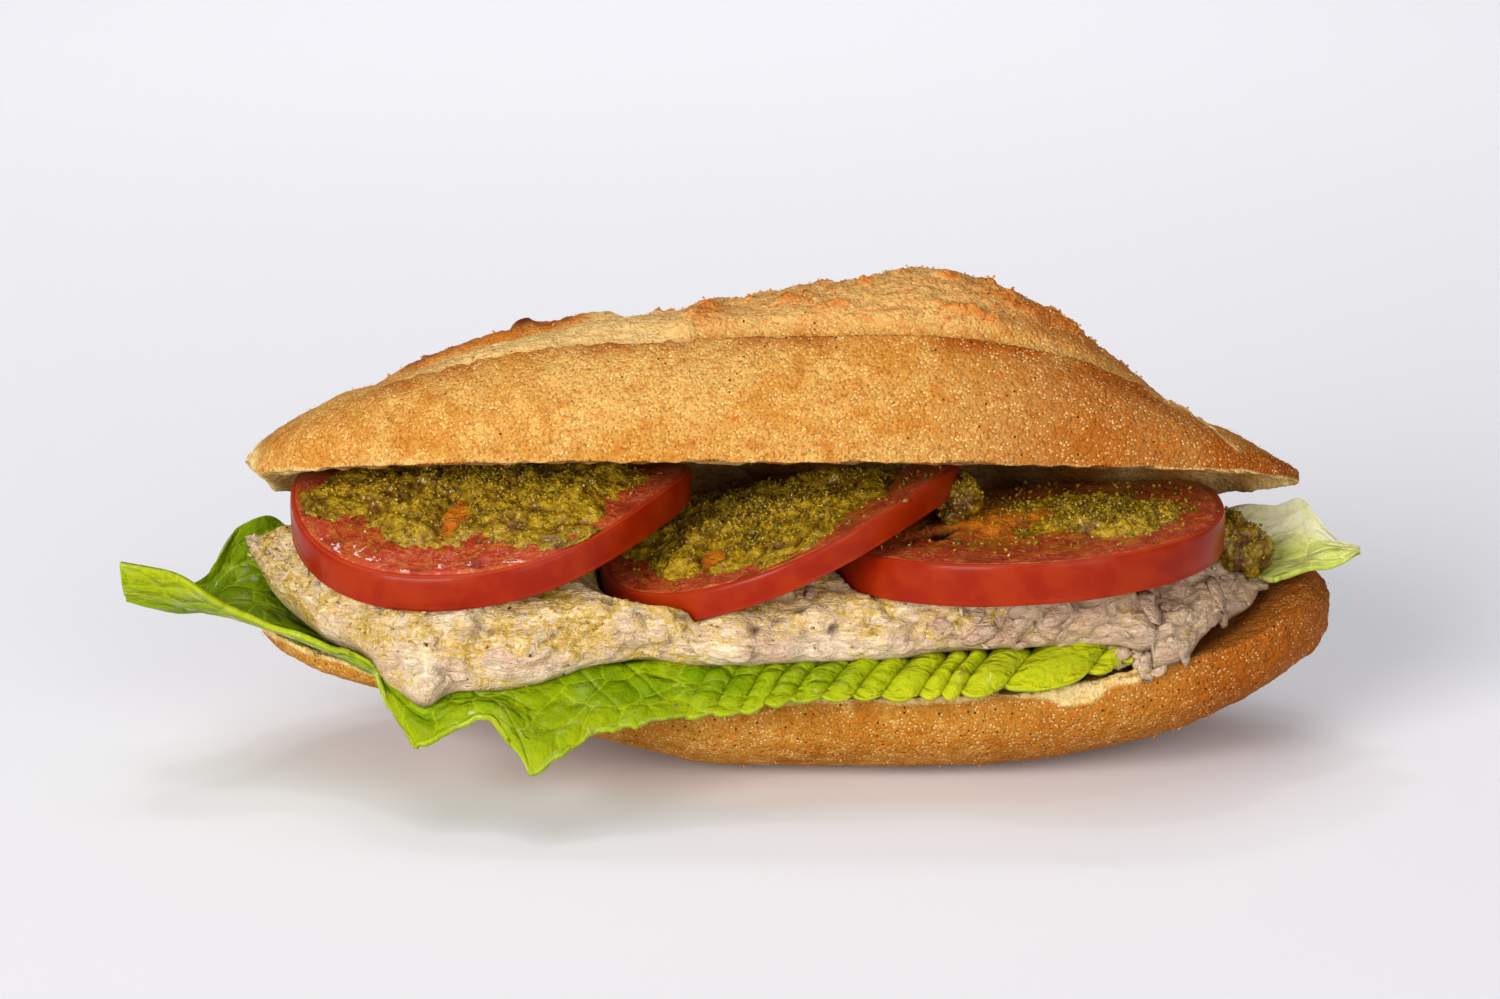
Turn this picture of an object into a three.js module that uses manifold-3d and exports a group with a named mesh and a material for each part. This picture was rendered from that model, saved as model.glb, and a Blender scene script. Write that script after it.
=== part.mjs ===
// A tuna baguette: a crusty loaf split along its side and propped open by its filling. On the
// lower half lies one long lettuce leaf that hangs out in front, then a thick bed of tuna salad,
// four tomato slices laid over each other like tiles, coarse pesto on the slices, and the upper
// half, tipped back so that its open side shows. Millimetres: X runs along the loaf, Y away from
// the open side and Z up. The loaf's flat spot rests on Z = 0.
import * as THREE from "three";
import { mergeVertices } from "three/addons/utils/BufferGeometryUtils.js";
import Module from "manifold-3d";

const wasm = await Module();
wasm.setup();

// Driving sizes
const LOAF_HALF_WIDTH = 36;
const CLEARANCE = 0.35; // between pieces that touch
const LEAF_THICKNESS = 1.0;

const TAU = 2 * Math.PI;
const rad = THREE.MathUtils.degToRad;
const clamp = (v) => Math.min(Math.max(v, 0), 1);
const ease = (v) => clamp(v) ** 2 * (3 - 2 * clamp(v));
const mix = (a, b, t) => a + (b - a) * t;

// A smooth curve through [x, value] knots, level beyond both ends.
function through(...knots) {
  const last = knots.length - 1;
  const slopes = knots.map((_, i) => {
    const [x0, v0] = knots[Math.max(i - 1, 0)];
    const [x1, v1] = knots[Math.min(i + 1, last)];
    return (v1 - v0) / (x1 - x0);
  });
  return (x) => {
    if (x <= knots[0][0]) return knots[0][1];
    if (x >= knots[last][0]) return knots[last][1];
    const i = knots.findIndex(([k]) => k > x) - 1;
    const span = knots[i + 1][0] - knots[i][0];
    const t = (x - knots[i][0]) / span;
    const u = 1 - t;
    return (
      knots[i][1] * u * u * (1 + 2 * t) +
      knots[i + 1][1] * t * t * (1 + 2 * u) +
      span * t * u * (slopes[i] * u - slopes[i + 1] * t)
    );
  };
}

// Soft lumps of about the given size, between -1 and 1, the same every time.
function lumps(x, y, z, size, seed = 0) {
  const k = TAU / size;
  return (
    (Math.sin(k * (x + 0.31 * y) + 1.7 * seed + 1.3 * Math.sin(0.53 * k * z)) +
      Math.sin(k * (0.83 * y - 0.42 * x + 0.2 * z) + 2.9 * seed) +
      Math.sin(k * (0.91 * z + 0.37 * x) + 0.6 * seed + 1.1 * Math.sin(0.47 * k * y))) /
    3
  );
}

function volumeOf(geometry) {
  const corner = [new THREE.Vector3(), new THREE.Vector3(), new THREE.Vector3()];
  const { position } = geometry.attributes;
  let sum = 0;
  for (let i = 0; i < geometry.index.count; i += 3) {
    corner.forEach((c, k) => c.fromBufferAttribute(position, geometry.index.getX(i + k)));
    sum += corner[0].dot(corner[1].cross(corner[2])) / 6;
  }
  return sum;
}

// Keeps a geometry's places only, joins its seams, and turns its faces outwards.
function closed(geometry) {
  geometry.deleteAttribute("normal");
  geometry.deleteAttribute("uv");
  const joined = mergeVertices(geometry, 1e-3);
  if (volumeOf(joined) < 0) joined.index.array.reverse();
  return joined;
}

// A ball's grid drawn over a form: place(turn, run) gives the point at these shares of the way
// round and from pole to pole.
function closedForm(around, along, place) {
  const ball = new THREE.SphereGeometry(1, around, along);
  const { position } = ball.attributes;
  for (let i = 0; i < position.count; i++) {
    const column = i % (around + 1);
    const row = (i - column) / (around + 1);
    position.setXYZ(i, ...place((column % around) / around, row / along));
  }
  return closed(ball);
}

// A thin sheet with both faces split alike: surface(u, v) is its middle.
function sheetForm(across, along, surface, thickness) {
  const plane = new THREE.PlaneGeometry(1, 1, across, along);
  const { uv } = plane.attributes;
  const count = uv.count;
  const middle = Array.from({ length: count }, (_, i) => surface(uv.getX(i), uv.getY(i)));
  plane.attributes.position.set(middle.flat());
  plane.computeVertexNormals();
  const normal = plane.attributes.normal;
  const face = (side) =>
    middle.flatMap((p, i) => [
      p[0] + side * normal.getX(i),
      p[1] + side * normal.getY(i),
      p[2] + side * normal.getZ(i),
    ]);
  const index = [...plane.index.array];
  const under = index.map((i) => i + count).reverse();
  const row = across + 1;
  const rim = [
    ...Array.from({ length: across }, (_, i) => i),
    ...Array.from({ length: along }, (_, j) => j * row + across),
    ...Array.from({ length: across }, (_, i) => along * row + across - i),
    ...Array.from({ length: along }, (_, j) => (along - j) * row),
  ];
  const wall = rim.flatMap((a, i) => {
    const b = rim[(i + 1) % rim.length];
    return [a, b, b + count, a, b + count, a + count];
  });
  const sheet = new THREE.BufferGeometry();
  const places = [...face(thickness / 2), ...face(-thickness / 2)];
  sheet.setAttribute("position", new THREE.Float32BufferAttribute(places, 3));
  sheet.setIndex([...index, ...under, ...wall]);
  if (volumeOf(sheet) < 0) sheet.index.array.reverse();
  return sheet;
}

function solidOf(geometry) {
  return new wasm.Manifold(
    new wasm.Mesh({
      numProp: 3,
      vertProperties: geometry.attributes.position.array,
      triVerts: new Uint32Array(geometry.index.array),
    }),
  );
}

function geometryOf(solid) {
  const { vertProperties, triVerts } = solid.getMesh();
  const geometry = new THREE.BufferGeometry();
  geometry.setAttribute("position", new THREE.BufferAttribute(vertProperties, 3));
  geometry.setIndex(new THREE.BufferAttribute(triVerts, 1));
  return geometry;
}

// Cuts a form back from its neighbours and keeps its largest piece.
function cutBack(geometry, ...neighbours) {
  const cut = neighbours.reduce((left, n) => left.subtract(solidOf(n)), solidOf(geometry));
  const pieces = cut.decompose().sort((a, b) => b.volume() - a.volume());
  return geometryOf(pieces[0]);
}

// Lower half of the loaf: bowed, so that it rests on its middle, and blunt at the right
const base = {
  left: -100.5,
  right: 104,
  under: through(
    [-100.5, 22.6], [-92, 18.2], [-77, 14.6], [-54, 9.8], [-32, 4.4], [-22, 1.6], [-15, -0.3],
    [-6, -0.6], [36, -0.6], [56, 1.8], [73, 5.6], [84, 9.8], [95, 15.4], [101, 19], [104, 23],
  ),
  frontEdge: through(
    [-100.5, 25], [-78, 21.5], [-50, 20], [0, 19], [36, 19.6], [50, 20.6], [62, 21.6], [74, 24.4],
    [86, 29], [98, 34], [104, 31],
  ),
  backRise: through([-100.5, 0], [-60, 3.5], [40, 4], [80, 3], [104, 0]),
  crustColumns: 24,
  cutColumns: 10,
  rings: 29,
};

const baseHalfWidth = (x) => {
  const t = (2 * (x - base.left)) / (base.right - base.left) - 1;
  const bluntness = t < 0 ? 2.5 : 3.8;
  return LOAF_HALF_WIDTH * Math.sqrt(Math.max(0, 1 - Math.abs(t) ** bluntness));
};

// The height of the cut face at a place, carried on level past the loaf's edges
function cutHeight(x, y) {
  const w = Math.max(baseHalfWidth(x), 1);
  const share = clamp((y + w) / (2 * w));
  return base.frontEdge(x) + base.backRise(x) * share - 0.8 * Math.sin(Math.PI * share);
}

function breadBase() {
  const columns = base.crustColumns + base.cutColumns;
  return closedForm(columns, base.rings, (turn, run) => {
    const share = 0.15 * run + 0.85 * (0.5 - 0.5 * Math.cos(Math.PI * run));
    const x = mix(base.left, base.right, share);
    const w = baseHalfWidth(x);
    const column = Math.round(turn * columns);
    if (column > base.crustColumns) {
      const back = (columns - column) / base.cutColumns;
      const y = w * Math.cos(Math.PI * (1 - back));
      return [x, y, cutHeight(x, y)];
    }
    const angle = (Math.PI * column) / base.crustColumns;
    const squarish = 0.84;
    const y = -w * Math.sign(Math.cos(angle)) * Math.abs(Math.cos(angle)) ** squarish;
    const edge = cutHeight(x, -w * Math.cos(angle));
    const depth = w < 1e-6 ? 0 : edge - base.under(x);
    const side = Math.max(0, Math.sin(angle));
    const belly = 1 + 0.05 * Math.sin(2 * angle) * Math.sign(Math.cos(angle));
    const swell = belly * (1 + 0.012 * lumps(x, y, 0, 42, 1));
    const z = edge - depth * side ** squarish;
    return [x, y * swell, Math.max(z, 0)];
  });
}

// Upper half of the loaf, drawn with its cut face level and then tipped back
const lid = {
  left: -102.4,
  right: 97.6,
  tilt: rad(20),
  place: [0, -2.2, 51.7],
  crown: through(
    [-102.4, 5], [-100, 8], [-92, 13.4], [-73, 22], [-54, 28.6], [-43, 31], [-30, 32.4],
    [-17, 32.2], [-8, 34.6], [4, 37.2], [24, 39.4], [38, 37.6], [48, 33.6], [62, 23.6], [72, 16.8],
    [79, 12.6], [87, 8.6], [94, 4.2], [97.6, 2],
  ),
  nose: through([-102.4, 4], [-98, 0]),
  ridge: through(
    [-80, 13], [-73, 15.6], [-50, 20.6], [-16, 22.6], [22, 23.4], [48, 21], [60, 18], [70, 14],
    [77, 10.5], [84, 4],
  ),
  crustColumns: 30,
  cutColumns: 11,
  wallColumns: 8,
  rings: 31,
  pocket: 9,
};

const lidHalfWidth = (x) => {
  const t = (2 * (x - lid.left)) / (lid.right - lid.left) - 1;
  const bluntness = t < 0 ? 3.2 : 2;
  return LOAF_HALF_WIDTH * Math.sqrt(Math.max(0, 1 - Math.abs(t) ** bluntness));
};

// How far the crust stands out of the plain arch: the lip along the front of the two slashes,
// the torn valley and raised ear of the left one, and the burst dough of the right one.
function crustRelief(x, a, b) {
  const slashed = ease((x + 84) / 10) * ease((86 - x) / 8);
  const above = b - lid.ridge(x);
  const front = ease((12 - a) / 8);
  const lip = above < 0 ? 0.9 * Math.exp(above / 7) : -0.8 * Math.exp(-above / 12);
  const leftSlash = ease((x + 82) / 14) * ease((-14 - x) / 10);
  const valley = -2.4 * Math.exp(-(((a + 8) / 9) ** 2));
  const ear = 2.6 * Math.exp(-(((a - 5) / 3.2) ** 2)) * ease((-24 - x) / 10);
  const burst = 1.6 * ease((x + 15 - 0.35 * a) / 5) * ease((84 - x) / 16) * ease((above - 1) / 3);
  return slashed * (front * lip + burst) + leftSlash * ease(above / 3) * (valley + ear);
}

function breadLid() {
  const columns = lid.crustColumns + lid.cutColumns;
  const form = closedForm(columns, lid.rings, (turn, run) => {
    const share = 0.5 * run + 0.5 * (0.5 - 0.5 * Math.cos(Math.PI * run));
    const x = mix(lid.left, lid.right, share);
    const w = lidHalfWidth(x);
    const h = lid.crown(x);
    const column = Math.round(turn * columns);
    if (column > lid.crustColumns) {
      const back = (columns - column) / lid.cutColumns;
      const a = w * Math.cos(Math.PI * (1 - back));
      const inner = Math.max(w - 3, 1);
      const hollow = Math.max(0, 1 - (Math.abs(a) / inner) ** 4) * Math.max(0, 1 - Math.abs(x / 97) ** 6);
      return [x, a, lid.pocket * hollow + lid.nose(x)];
    }
    if (w < 1e-6) return [x, 0, lid.nose(x)];
    const squarish = 0.84;
    const ridgeShare = clamp(lid.ridge(x) / Math.max(h, 1)) * 0.97;
    const ridgeAngle = Math.asin(Math.min(ridgeShare ** (1 / squarish), 0.96));
    const step = 0.025;
    const topColumns = lid.crustColumns - lid.wallColumns - 1;
    const angle =
      column <= lid.wallColumns
        ? mix(0, ridgeAngle - step, column / lid.wallColumns)
        : mix(ridgeAngle + step, Math.PI, (column - lid.wallColumns - 1) / topColumns);
    const a = -w * Math.sign(Math.cos(angle)) * Math.abs(Math.cos(angle)) ** squarish;
    const b = h * Math.sin(Math.max(angle, 0)) ** squarish;
    const core = 0.25 * h;
    const reach = Math.hypot(a, b - core);
    const fade = ease(b / 6);
    const relief = fade * (crustRelief(x, a, b) + 0.5 * lumps(x, a, b, 38, 2));
    const belly = 1.2 * Math.sin(Math.PI * clamp(b / (0.75 * h)));
    const out = (relief + belly) * clamp(w / 20);
    return [x, a + (out * a) / reach, Math.max(lid.nose(x), b + (out * (b - core)) / reach)];
  });
  form.rotateX(-lid.tilt);
  form.translate(...lid.place);
  return form;
}

// The long leaf, a strip whose sections run from its back edge over the bread to its free front
// edge. Past the loaf's left end it is a trough with its front edge up; along the front that
// edge hangs over the crust, with two torn points.
const leaf = {
  left: -123.5,
  right: 64,
  backY: through(
    [-123.5, -14], [-115, -10], [-109, -2], [-106, 8], [-96, 16], [-80, 27], [-40, 34], [40, 34],
    [60, 28], [71, 20],
  ),
  backZ: through(
    [-123.5, 37], [-115, 33], [-110, 34], [-106, 39.6], [-96, 40.8], [-88, 36], [-78, 28.5],
    [-60, 26.5], [40, 26.5], [71, 29],
  ),
  crestY: through(
    [-123.5, -19], [-108, -17], [-100, -18], [-92, -22], [-84, -28], [-76, -37], [-66, -41],
    [-46, -41], [-20, -39], [10, -38], [36, -36], [56, -31], [71, -23],
  ),
  crestZ: through(
    [-123.5, 34.4], [-108, 30.6], [-100, 29], [-92, 27.4], [-84, 26], [-76, 24.4], [-66, 23.4],
    [-46, 24.6], [-34, 26.6], [-10, 26], [36, 26.6], [56, 27.6], [71, 29],
  ),
  edgeY: through(
    [-123.5, -23.6], [-110, -26], [-99, -27], [-92.6, -30], [-84, -34], [-76, -40], [-72, -44],
    [-66, -53], [-61.5, -53], [-52, -55], [-46, -61], [-40.5, -60], [-34, -55], [-23, -51],
    [-8, -48], [12, -44], [36, -42], [56, -37], [71, -26],
  ),
  edgeZ: through(
    [-123.5, 41.2], [-115, 40], [-110, 38.4], [-104, 34.2], [-99, 31.8], [-92, 30], [-84, 28.2],
    [-76, 26.4], [-72.5, 20.8], [-66, 15.6], [-61.5, 18], [-56, 19.9], [-51.6, 18.8], [-46, 13.4],
    [-40.5, 14.4], [-34, 18.4], [-23, 19.4], [-8, 20], [-2, 21.6], [12, 21.8], [36, 22.8],
    [50, 23.8], [61, 25.4], [71, 27.6],
  ),
  crestShare: 0.62,
  pleat: 5.6, // width of the blisters between the ribs along the front
  slant: 12, // how far a rib leans along the leaf between its two edges
  across: 9,
  along: 82,
};

// A point of the leaf's middle: share runs from the back edge, past the crest, to the front edge
function leafPoint(x, share) {
  if (share > leaf.crestShare) {
    const t = (share - leaf.crestShare) / (1 - leaf.crestShare);
    const y = mix(leaf.crestY(x), leaf.edgeY(x), t);
    const hanging = ease((x + 84) / 12);
    const bow = mix(t * t, 1 - (1 - t) ** 1.5, 0.5 * hanging);
    return [x, y, mix(leaf.crestZ(x), leaf.edgeZ(x), bow)];
  }
  const t = share / leaf.crestShare;
  const y = mix(leaf.backY(x), leaf.crestY(x), t);
  const free = mix(leaf.backZ(x), leaf.crestZ(x), t) - 3 * Math.sin(Math.PI * t);
  const lifted = mix(cutHeight(x, y), leaf.crestZ(x), ease((t - 0.6) / 0.4));
  const resting = Math.max(cutHeight(x, y) + 1.2, lifted);
  return [x, y, mix(free, resting, ease((x + 101) / 14))];
}

// Blisters between slanting ribs along the front, which rise with the leaf's free part
function leafPuff(x, share) {
  const along = ease((x + 24) / 20) * ease((68 - x) / 8);
  const front = ease((share - 0.5) / 0.2) * ease((1.1 - share) / 0.25);
  return 1.1 * along * front * Math.abs(Math.sin((Math.PI * (x + leaf.slant * share)) / leaf.pleat));
}

function lettuceLeaf() {
  return sheetForm(
    leaf.across,
    leaf.along,
    (u, v) => {
      const x = mix(leaf.left, leaf.right, v);
      const share = mix(u, ease(u), 0.3);
      const [, y, z] = leafPoint(x, share);
      const puff = leafPuff(x, share);
      return [x, y - 0.7 * puff, z + 0.5 * puff];
    },
    LEAF_THICKNESS,
  );
}

// The pale leaf at the right end: a cupped lobe that lies on the loaf's nose and stands up behind
const paleLeaf = {
  left: through([0, 92], [1, 80]),
  right: 109,
  frontY: through([73, -13], [80, -19], [87, -16.5], [93, -13.5], [99, -10], [105, -7.5], [109, -6]),
  frontZ: through([73, 32], [80, 32], [87, 34], [93, 35.6], [99, 36.8], [105, 37], [109, 39]),
  foldY: through([73, -2], [87, -3], [97, -3], [105, -4], [109, -5.6]),
  foldZ: through([73, 31.5], [87, 34.5], [97, 37], [105, 39], [109, 39.6]),
  backY: through([73, 10], [85, 10], [99, 8], [104, 1], [109, -4.6]),
  backZ: through([73, 36], [79, 41], [85, 43.4], [93, 44.6], [99.5, 45.4], [104, 41], [109, 39.6]),
  across: 7,
  along: 14,
};

function lettucePale(thickness = LEAF_THICKNESS) {
  return sheetForm(
    paleLeaf.across,
    paleLeaf.along,
    (u, v) => {
      const x = mix(paleLeaf.left(u), paleLeaf.right, v);
      const behind = u > 0.45;
      const t = behind ? (u - 0.45) / 0.55 : u / 0.45;
      const [y0, z0] = [paleLeaf.foldY(x), paleLeaf.foldZ(x)];
      const y = behind ? mix(y0, paleLeaf.backY(x), t) : mix(paleLeaf.frontY(x), y0, t);
      const z = behind ? mix(z0, paleLeaf.backZ(x), t ** 1.4) : mix(paleLeaf.frontZ(x), z0, t);
      return [x, y, z + 0.5 * Math.sin(0.55 * x + 3 * u) * t];
    },
    thickness,
  );
}

// Tomato slices: a round disc that sags over what carries it. rise lifts its right side and
// pitch its back, for each millimetre; sag and droop bend it down towards its edges.
const slices = {
  tomato_left: {
    x: -55.9, y: -11, rx: 37.6, ry: 35.5, z: 55.6, thickness: 6.4, rise: 0.05, pitch: 0.03,
    sag: 0.02, droop: 0.3, twist: -0.12, fold: 0.18, seed: 1, square: 2,
  },
  tomato_middle: {
    x: -1.5, y: -11, rx: 33.6, ry: 35, z: 48.6, thickness: 5.6, rise: 0.255, pitch: 0.03, sag: -0.04,
    droop: 0.03, twist: -0.21, fold: 0.24, seed: 2, square: 2,
  },
  tomato_right: {
    x: 44.8, y: -13, rx: 37, ry: 35.2, z: 49.8, thickness: 7.8, rise: 0.065, pitch: 0.03,
    sag: 0.03, droop: 0.02, twist: 0, fold: 0.3, seed: 3, square: 2.3,
  },
};

// The top of a slice; fold bends its hidden back down further
const sliceTop = (s, u, v) =>
  s.z +
  s.rise * u +
  s.pitch * v -
  (s.sag * u * u + s.droop * v * v - s.twist * u * v + s.fold * Math.max(0, v - 6) ** 2) / 40;

// A slice's outline is a little lobed, and one is nearly square at its ends
function sliceReach(s, angle) {
  const lobed = 1 + 0.012 * Math.sin(5 * angle + s.seed) + 0.008 * Math.sin(3 * angle + 2 * s.seed);
  const squared = Math.abs(Math.cos(angle)) ** s.square + Math.abs(Math.sin(angle)) ** s.square;
  return lobed * squared ** (-1 / s.square);
}

// Shares of the radius and of the thickness from the middle of the top to that of the underside
const sliceProfile = [
  [0, 0],
  [0.3, 0],
  [0.62, 0],
  [0.9, 0],
  [0.985, 0.04],
  [1.012, 0.5],
  [0.985, 0.96],
  [0.8, 1],
  [0.4, 1],
  [0, 1],
];

// The headroom over a slice opens out towards the front, so that nothing there hides the slice
const HEADROOM_LEAN = 3;

function tomatoSlice(s, grow = 0, raise = 0) {
  return closedForm(30, sliceProfile.length - 1, (turn, run) => {
    const [share, down] = sliceProfile[Math.round(run * (sliceProfile.length - 1))];
    const angle = TAU * turn;
    const reach = share * sliceReach(s, angle);
    const u = (s.rx + grow) * reach * Math.cos(angle);
    const v = (s.ry + grow) * reach * Math.sin(angle);
    const band = Math.sin(Math.PI * clamp((share - 0.2) / 0.6));
    const chamber = (Math.sin(2.5 * angle + s.seed) * band) ** 2;
    const sunk = down === 0 && grow === 0 ? 1.1 * chamber : 0;
    const z = sliceTop(s, u, v) - sunk + grow - down * (s.thickness + 2 * grow);
    const raised = down < 0.5 ? raise : 0;
    const lean = HEADROOM_LEAN * raised * share * clamp(-Math.sin(angle));
    return [s.x + u + lean * Math.cos(angle), s.y + v + lean * Math.sin(angle), z + raised];
  });
}

// Tuna salad: a closed section at each place along the loaf, from the front foot over the top to
// the back foot
const tuna = {
  left: -102,
  right: 90,
  footY: through(
    [-102, -8], [-100, -12], [-96, -22], [-90, -28], [-80, -35], [-71, -45], [-65.4, -50],
    [-61, -48], [-45, -46], [-33, -43.5], [-16, -41], [8, -39.4], [39, -37], [60, -34], [70, -33],
    [75, -31.5], [80, -27], [85, -23], [88, -19], [90, -10],
  ),
  footZ: through(
    [-102, 42], [-100, 40], [-96, 36], [-90, 32.4], [-80, 28.8], [-71, 24.6], [-65.4, 22.6],
    [-61, 24.8], [-52, 24.8], [-45, 26.2], [-34, 29], [-25, 29.6], [-16, 27.8], [8, 28.2],
    [21, 28.6], [29, 30], [59, 30], [65, 28], [69.5, 22], [74, 26], [78, 29.6], [86, 29], [90, 33],
  ),
  brow: through(
    [-102, 1], [-96, 7], [-83, 14], [-60, 15], [-40, 13], [-20, 11], [20, 11], [60, 11.5], [80, 9],
    [90, 2],
  ),
  top: through([-102, 43], [-96, 46], [-80, 48], [-30, 46], [10, 45], [60, 44], [80, 41], [90, 35]),
  backY: through(
    [-102, -6], [-94, 8], [-80, 22], [-50, 31], [40, 32], [62, 27], [75, 12], [84, -2], [90, -9],
  ),
  clear: 1.4, // how far its underside stays above the leaf's middle
  columns: 22,
  rings: 40,
};

// The leaf's height at a place it passes under
function leafHeight(x, y) {
  const inside = (leaf.backY(x) - y) / (leaf.backY(x) - leaf.crestY(x));
  const beyond = (leaf.crestY(x) - y) / (leaf.crestY(x) - leaf.edgeY(x));
  const share = inside < 1
    ? Math.max(inside, 0) * leaf.crestShare
    : mix(leaf.crestShare, 1, Math.min(beyond, 1));
  return leafPoint(x, share)[2];
}

function tunaSection(x) {
  const footY = tuna.footY(x);
  const brow = tuna.brow(x);
  const backY = tuna.backY(x);
  const top = tuna.top(x);
  const onLeaf = x < leaf.right + 3;
  const floorHeight = (y) => Math.max(onLeaf ? leafHeight(x, y) : 0, cutHeight(x, y)) + tuna.clear;
  const footZ = Math.max(tuna.footZ(x), floorHeight(footY) + 0.3);
  const floor = (share) => {
    const y = mix(footY, backY, share);
    return new THREE.Vector3(x, y, floorHeight(y));
  };
  const backFoot = floorHeight(backY);
  const points = [
    new THREE.Vector3(x, footY, footZ),
    new THREE.Vector3(x, footY - 2.2, footZ + 0.45 * brow),
    new THREE.Vector3(x, footY + 2.5, footZ + brow),
    new THREE.Vector3(x, mix(footY, backY, 0.35), mix(footZ + brow, top, 0.8)),
    new THREE.Vector3(x, mix(footY, backY, 0.62), top),
    new THREE.Vector3(x, mix(footY, backY, 0.88), top - 4),
    new THREE.Vector3(x, backY + 1, mix(backFoot, top - 4, 0.5)),
    floor(0.97),
    floor(0.78),
    floor(0.55),
    floor(0.32),
    floor(0.14),
  ];
  return new THREE.CatmullRomCurve3(points, true);
}

function tunaSalad() {
  return closedForm(tuna.columns, tuna.rings, (turn, run) => {
    const share = 0.7 * run + 0.3 * (0.5 - 0.5 * Math.cos(Math.PI * run));
    const x = mix(tuna.left, tuna.right, share);
    const point = tunaSection(x).getPointAt(turn);
    const closeness = Math.min(1, Math.sqrt(9 * Math.min(run, 1 - run)));
    const middle = mix(tuna.footY(x), tuna.backY(x), 0.5);
    const heart = new THREE.Vector3(x, middle, tuna.footZ(x) + 0.5 * tuna.brow(x));
    const under = x < leaf.right + 3 ? leafHeight(x, point.y) : cutHeight(x, point.y);
    const outer = clamp((point.z - under - tuna.clear - 1) / 5);
    const broad = 1.1 * lumps(x, point.y, point.z, 13, 3);
    const crag = (broad + 0.8 * lumps(x, point.y, point.z, 7.5, 4)) * outer;
    const away = point.clone().sub(heart).normalize().multiplyScalar(crag);
    return heart.lerp(point, closeness).add(away.multiplyScalar(closeness)).toArray();
  });
}

// Pesto: lumpy patches spread on a slice, at a place given from the slice's middle
const spreads = {
  pesto_left: { on: "tomato_left", u: 1, v: -3, ru: 33, rv: 27, thickness: 2.6, seed: 11 },
  pesto_middle: { on: "tomato_middle", u: -3, v: -1, ru: 27, rv: 28, thickness: 2.6, seed: 12 },
  pesto_right: { on: "tomato_right", u: 14, v: -8, ru: 20, rv: 16, thickness: 2.4, seed: 13 },
};

function pestoSpread(p) {
  const s = slices[p.on];
  const rings = [0, 0.35, 0.68, 0.92, 1, 0.9, 0.5, 0];
  return closedForm(22, rings.length - 1, (turn, run) => {
    const ring = Math.round(run * (rings.length - 1));
    const angle = TAU * turn;
    const ragged = 1 + 0.1 * Math.sin(3 * angle + p.seed) + 0.06 * Math.sin(7 * angle + 2 * p.seed);
    const u = p.u + p.ru * rings[ring] * ragged * Math.cos(angle);
    const v = p.v + p.rv * rings[ring] * ragged * Math.sin(angle);
    const foot = sliceTop(s, u, v) + 0.6;
    const heap = p.thickness * (1 - rings[ring] ** 4) * (1 + 0.35 * lumps(u, v, 0, 9, p.seed));
    return [s.x + u, s.y + v, foot + (ring < 4 ? heap + 0.4 : ring === 4 ? 0.2 : 0)];
  });
}

// Pesto blobs: the one that has run off the slices at the right end and the one in the gap
const blobs = {
  pesto_run_off: { centre: [84.5, -6, 41], size: [6.5, 8, 6.2], lean: 0.35, seed: 21 },
  pesto_gap: { centre: [32.6, -17, 52.2], size: [4, 7, 4], lean: -0.1, seed: 22 },
};

function pestoBlob({ centre, size, lean, seed }, grow = 0) {
  return closedForm(16, 10, (turn, run) => {
    const across = Math.sin(Math.PI * run);
    const way = [across * Math.cos(TAU * turn), across * Math.sin(TAU * turn), Math.cos(Math.PI * run)];
    const swell = 1 + 0.12 * lumps(way[0] * 10, way[1] * 10, way[2] * 10, 11, seed);
    const [x, y, z] = way.map((w, i) => centre[i] + w * (size[i] * swell + grow));
    return [x - lean * (z - centre[2]), y, z];
  });
}

const colours = {
  crust: { color: 0xc98d45, roughness: 0.85 },
  leaf: { color: 0x7fb022, roughness: 0.4 },
  paleLeaf: { color: 0xd6dd8a, roughness: 0.45 },
  tuna: { color: 0xd9b9a0, roughness: 0.6 },
  tomato: { color: 0xb8231a, roughness: 0.25 },
  pesto: { color: 0x6f6a1c, roughness: 0.45 },
};

const sandwich = new THREE.Group();

function add(name, geometry, colour) {
  const material = new THREE.MeshStandardMaterial({ ...colours[colour], metalness: 0 });
  const mesh = new THREE.Mesh(geometry, material);
  mesh.name = name;
  sandwich.add(mesh);
}

const HEADROOM = 14; // above a slice, kept free of tuna
const grown = {};
const pressed = [pestoBlob(blobs.pesto_run_off, CLEARANCE)];
for (const [name, s] of Object.entries(slices)) {
  grown[name] = tomatoSlice(s, CLEARANCE);
  pressed.push(tomatoSlice(s, CLEARANCE, HEADROOM));
}
const loafBase = breadBase();
const loafLid = breadLid();
const longLeaf = lettuceLeaf();

add("bread_base", loafBase, "crust");
add("bread_lid", loafLid, "crust");
add("lettuce_leaf", longLeaf, "leaf");
add("lettuce_pale", lettucePale(), "paleLeaf");
add("tuna_salad", cutBack(tunaSalad(), ...pressed), "tuna");
add("tomato_left", tomatoSlice(slices.tomato_left), "tomato");
add("tomato_middle", cutBack(tomatoSlice(slices.tomato_middle), grown.tomato_left), "tomato");
add("tomato_right", cutBack(tomatoSlice(slices.tomato_right), grown.tomato_middle), "tomato");
add("pesto_left", pestoSpread(spreads.pesto_left), "pesto");
add("pesto_middle", cutBack(pestoSpread(spreads.pesto_middle), grown.tomato_left), "pesto");
add("pesto_right", cutBack(pestoSpread(spreads.pesto_right), grown.tomato_middle), "pesto");
const aroundPale = lettucePale(LEAF_THICKNESS + 2 * CLEARANCE);
add("pesto_run_off", cutBack(pestoBlob(blobs.pesto_run_off), grown.tomato_right, aroundPale), "pesto");
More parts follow.
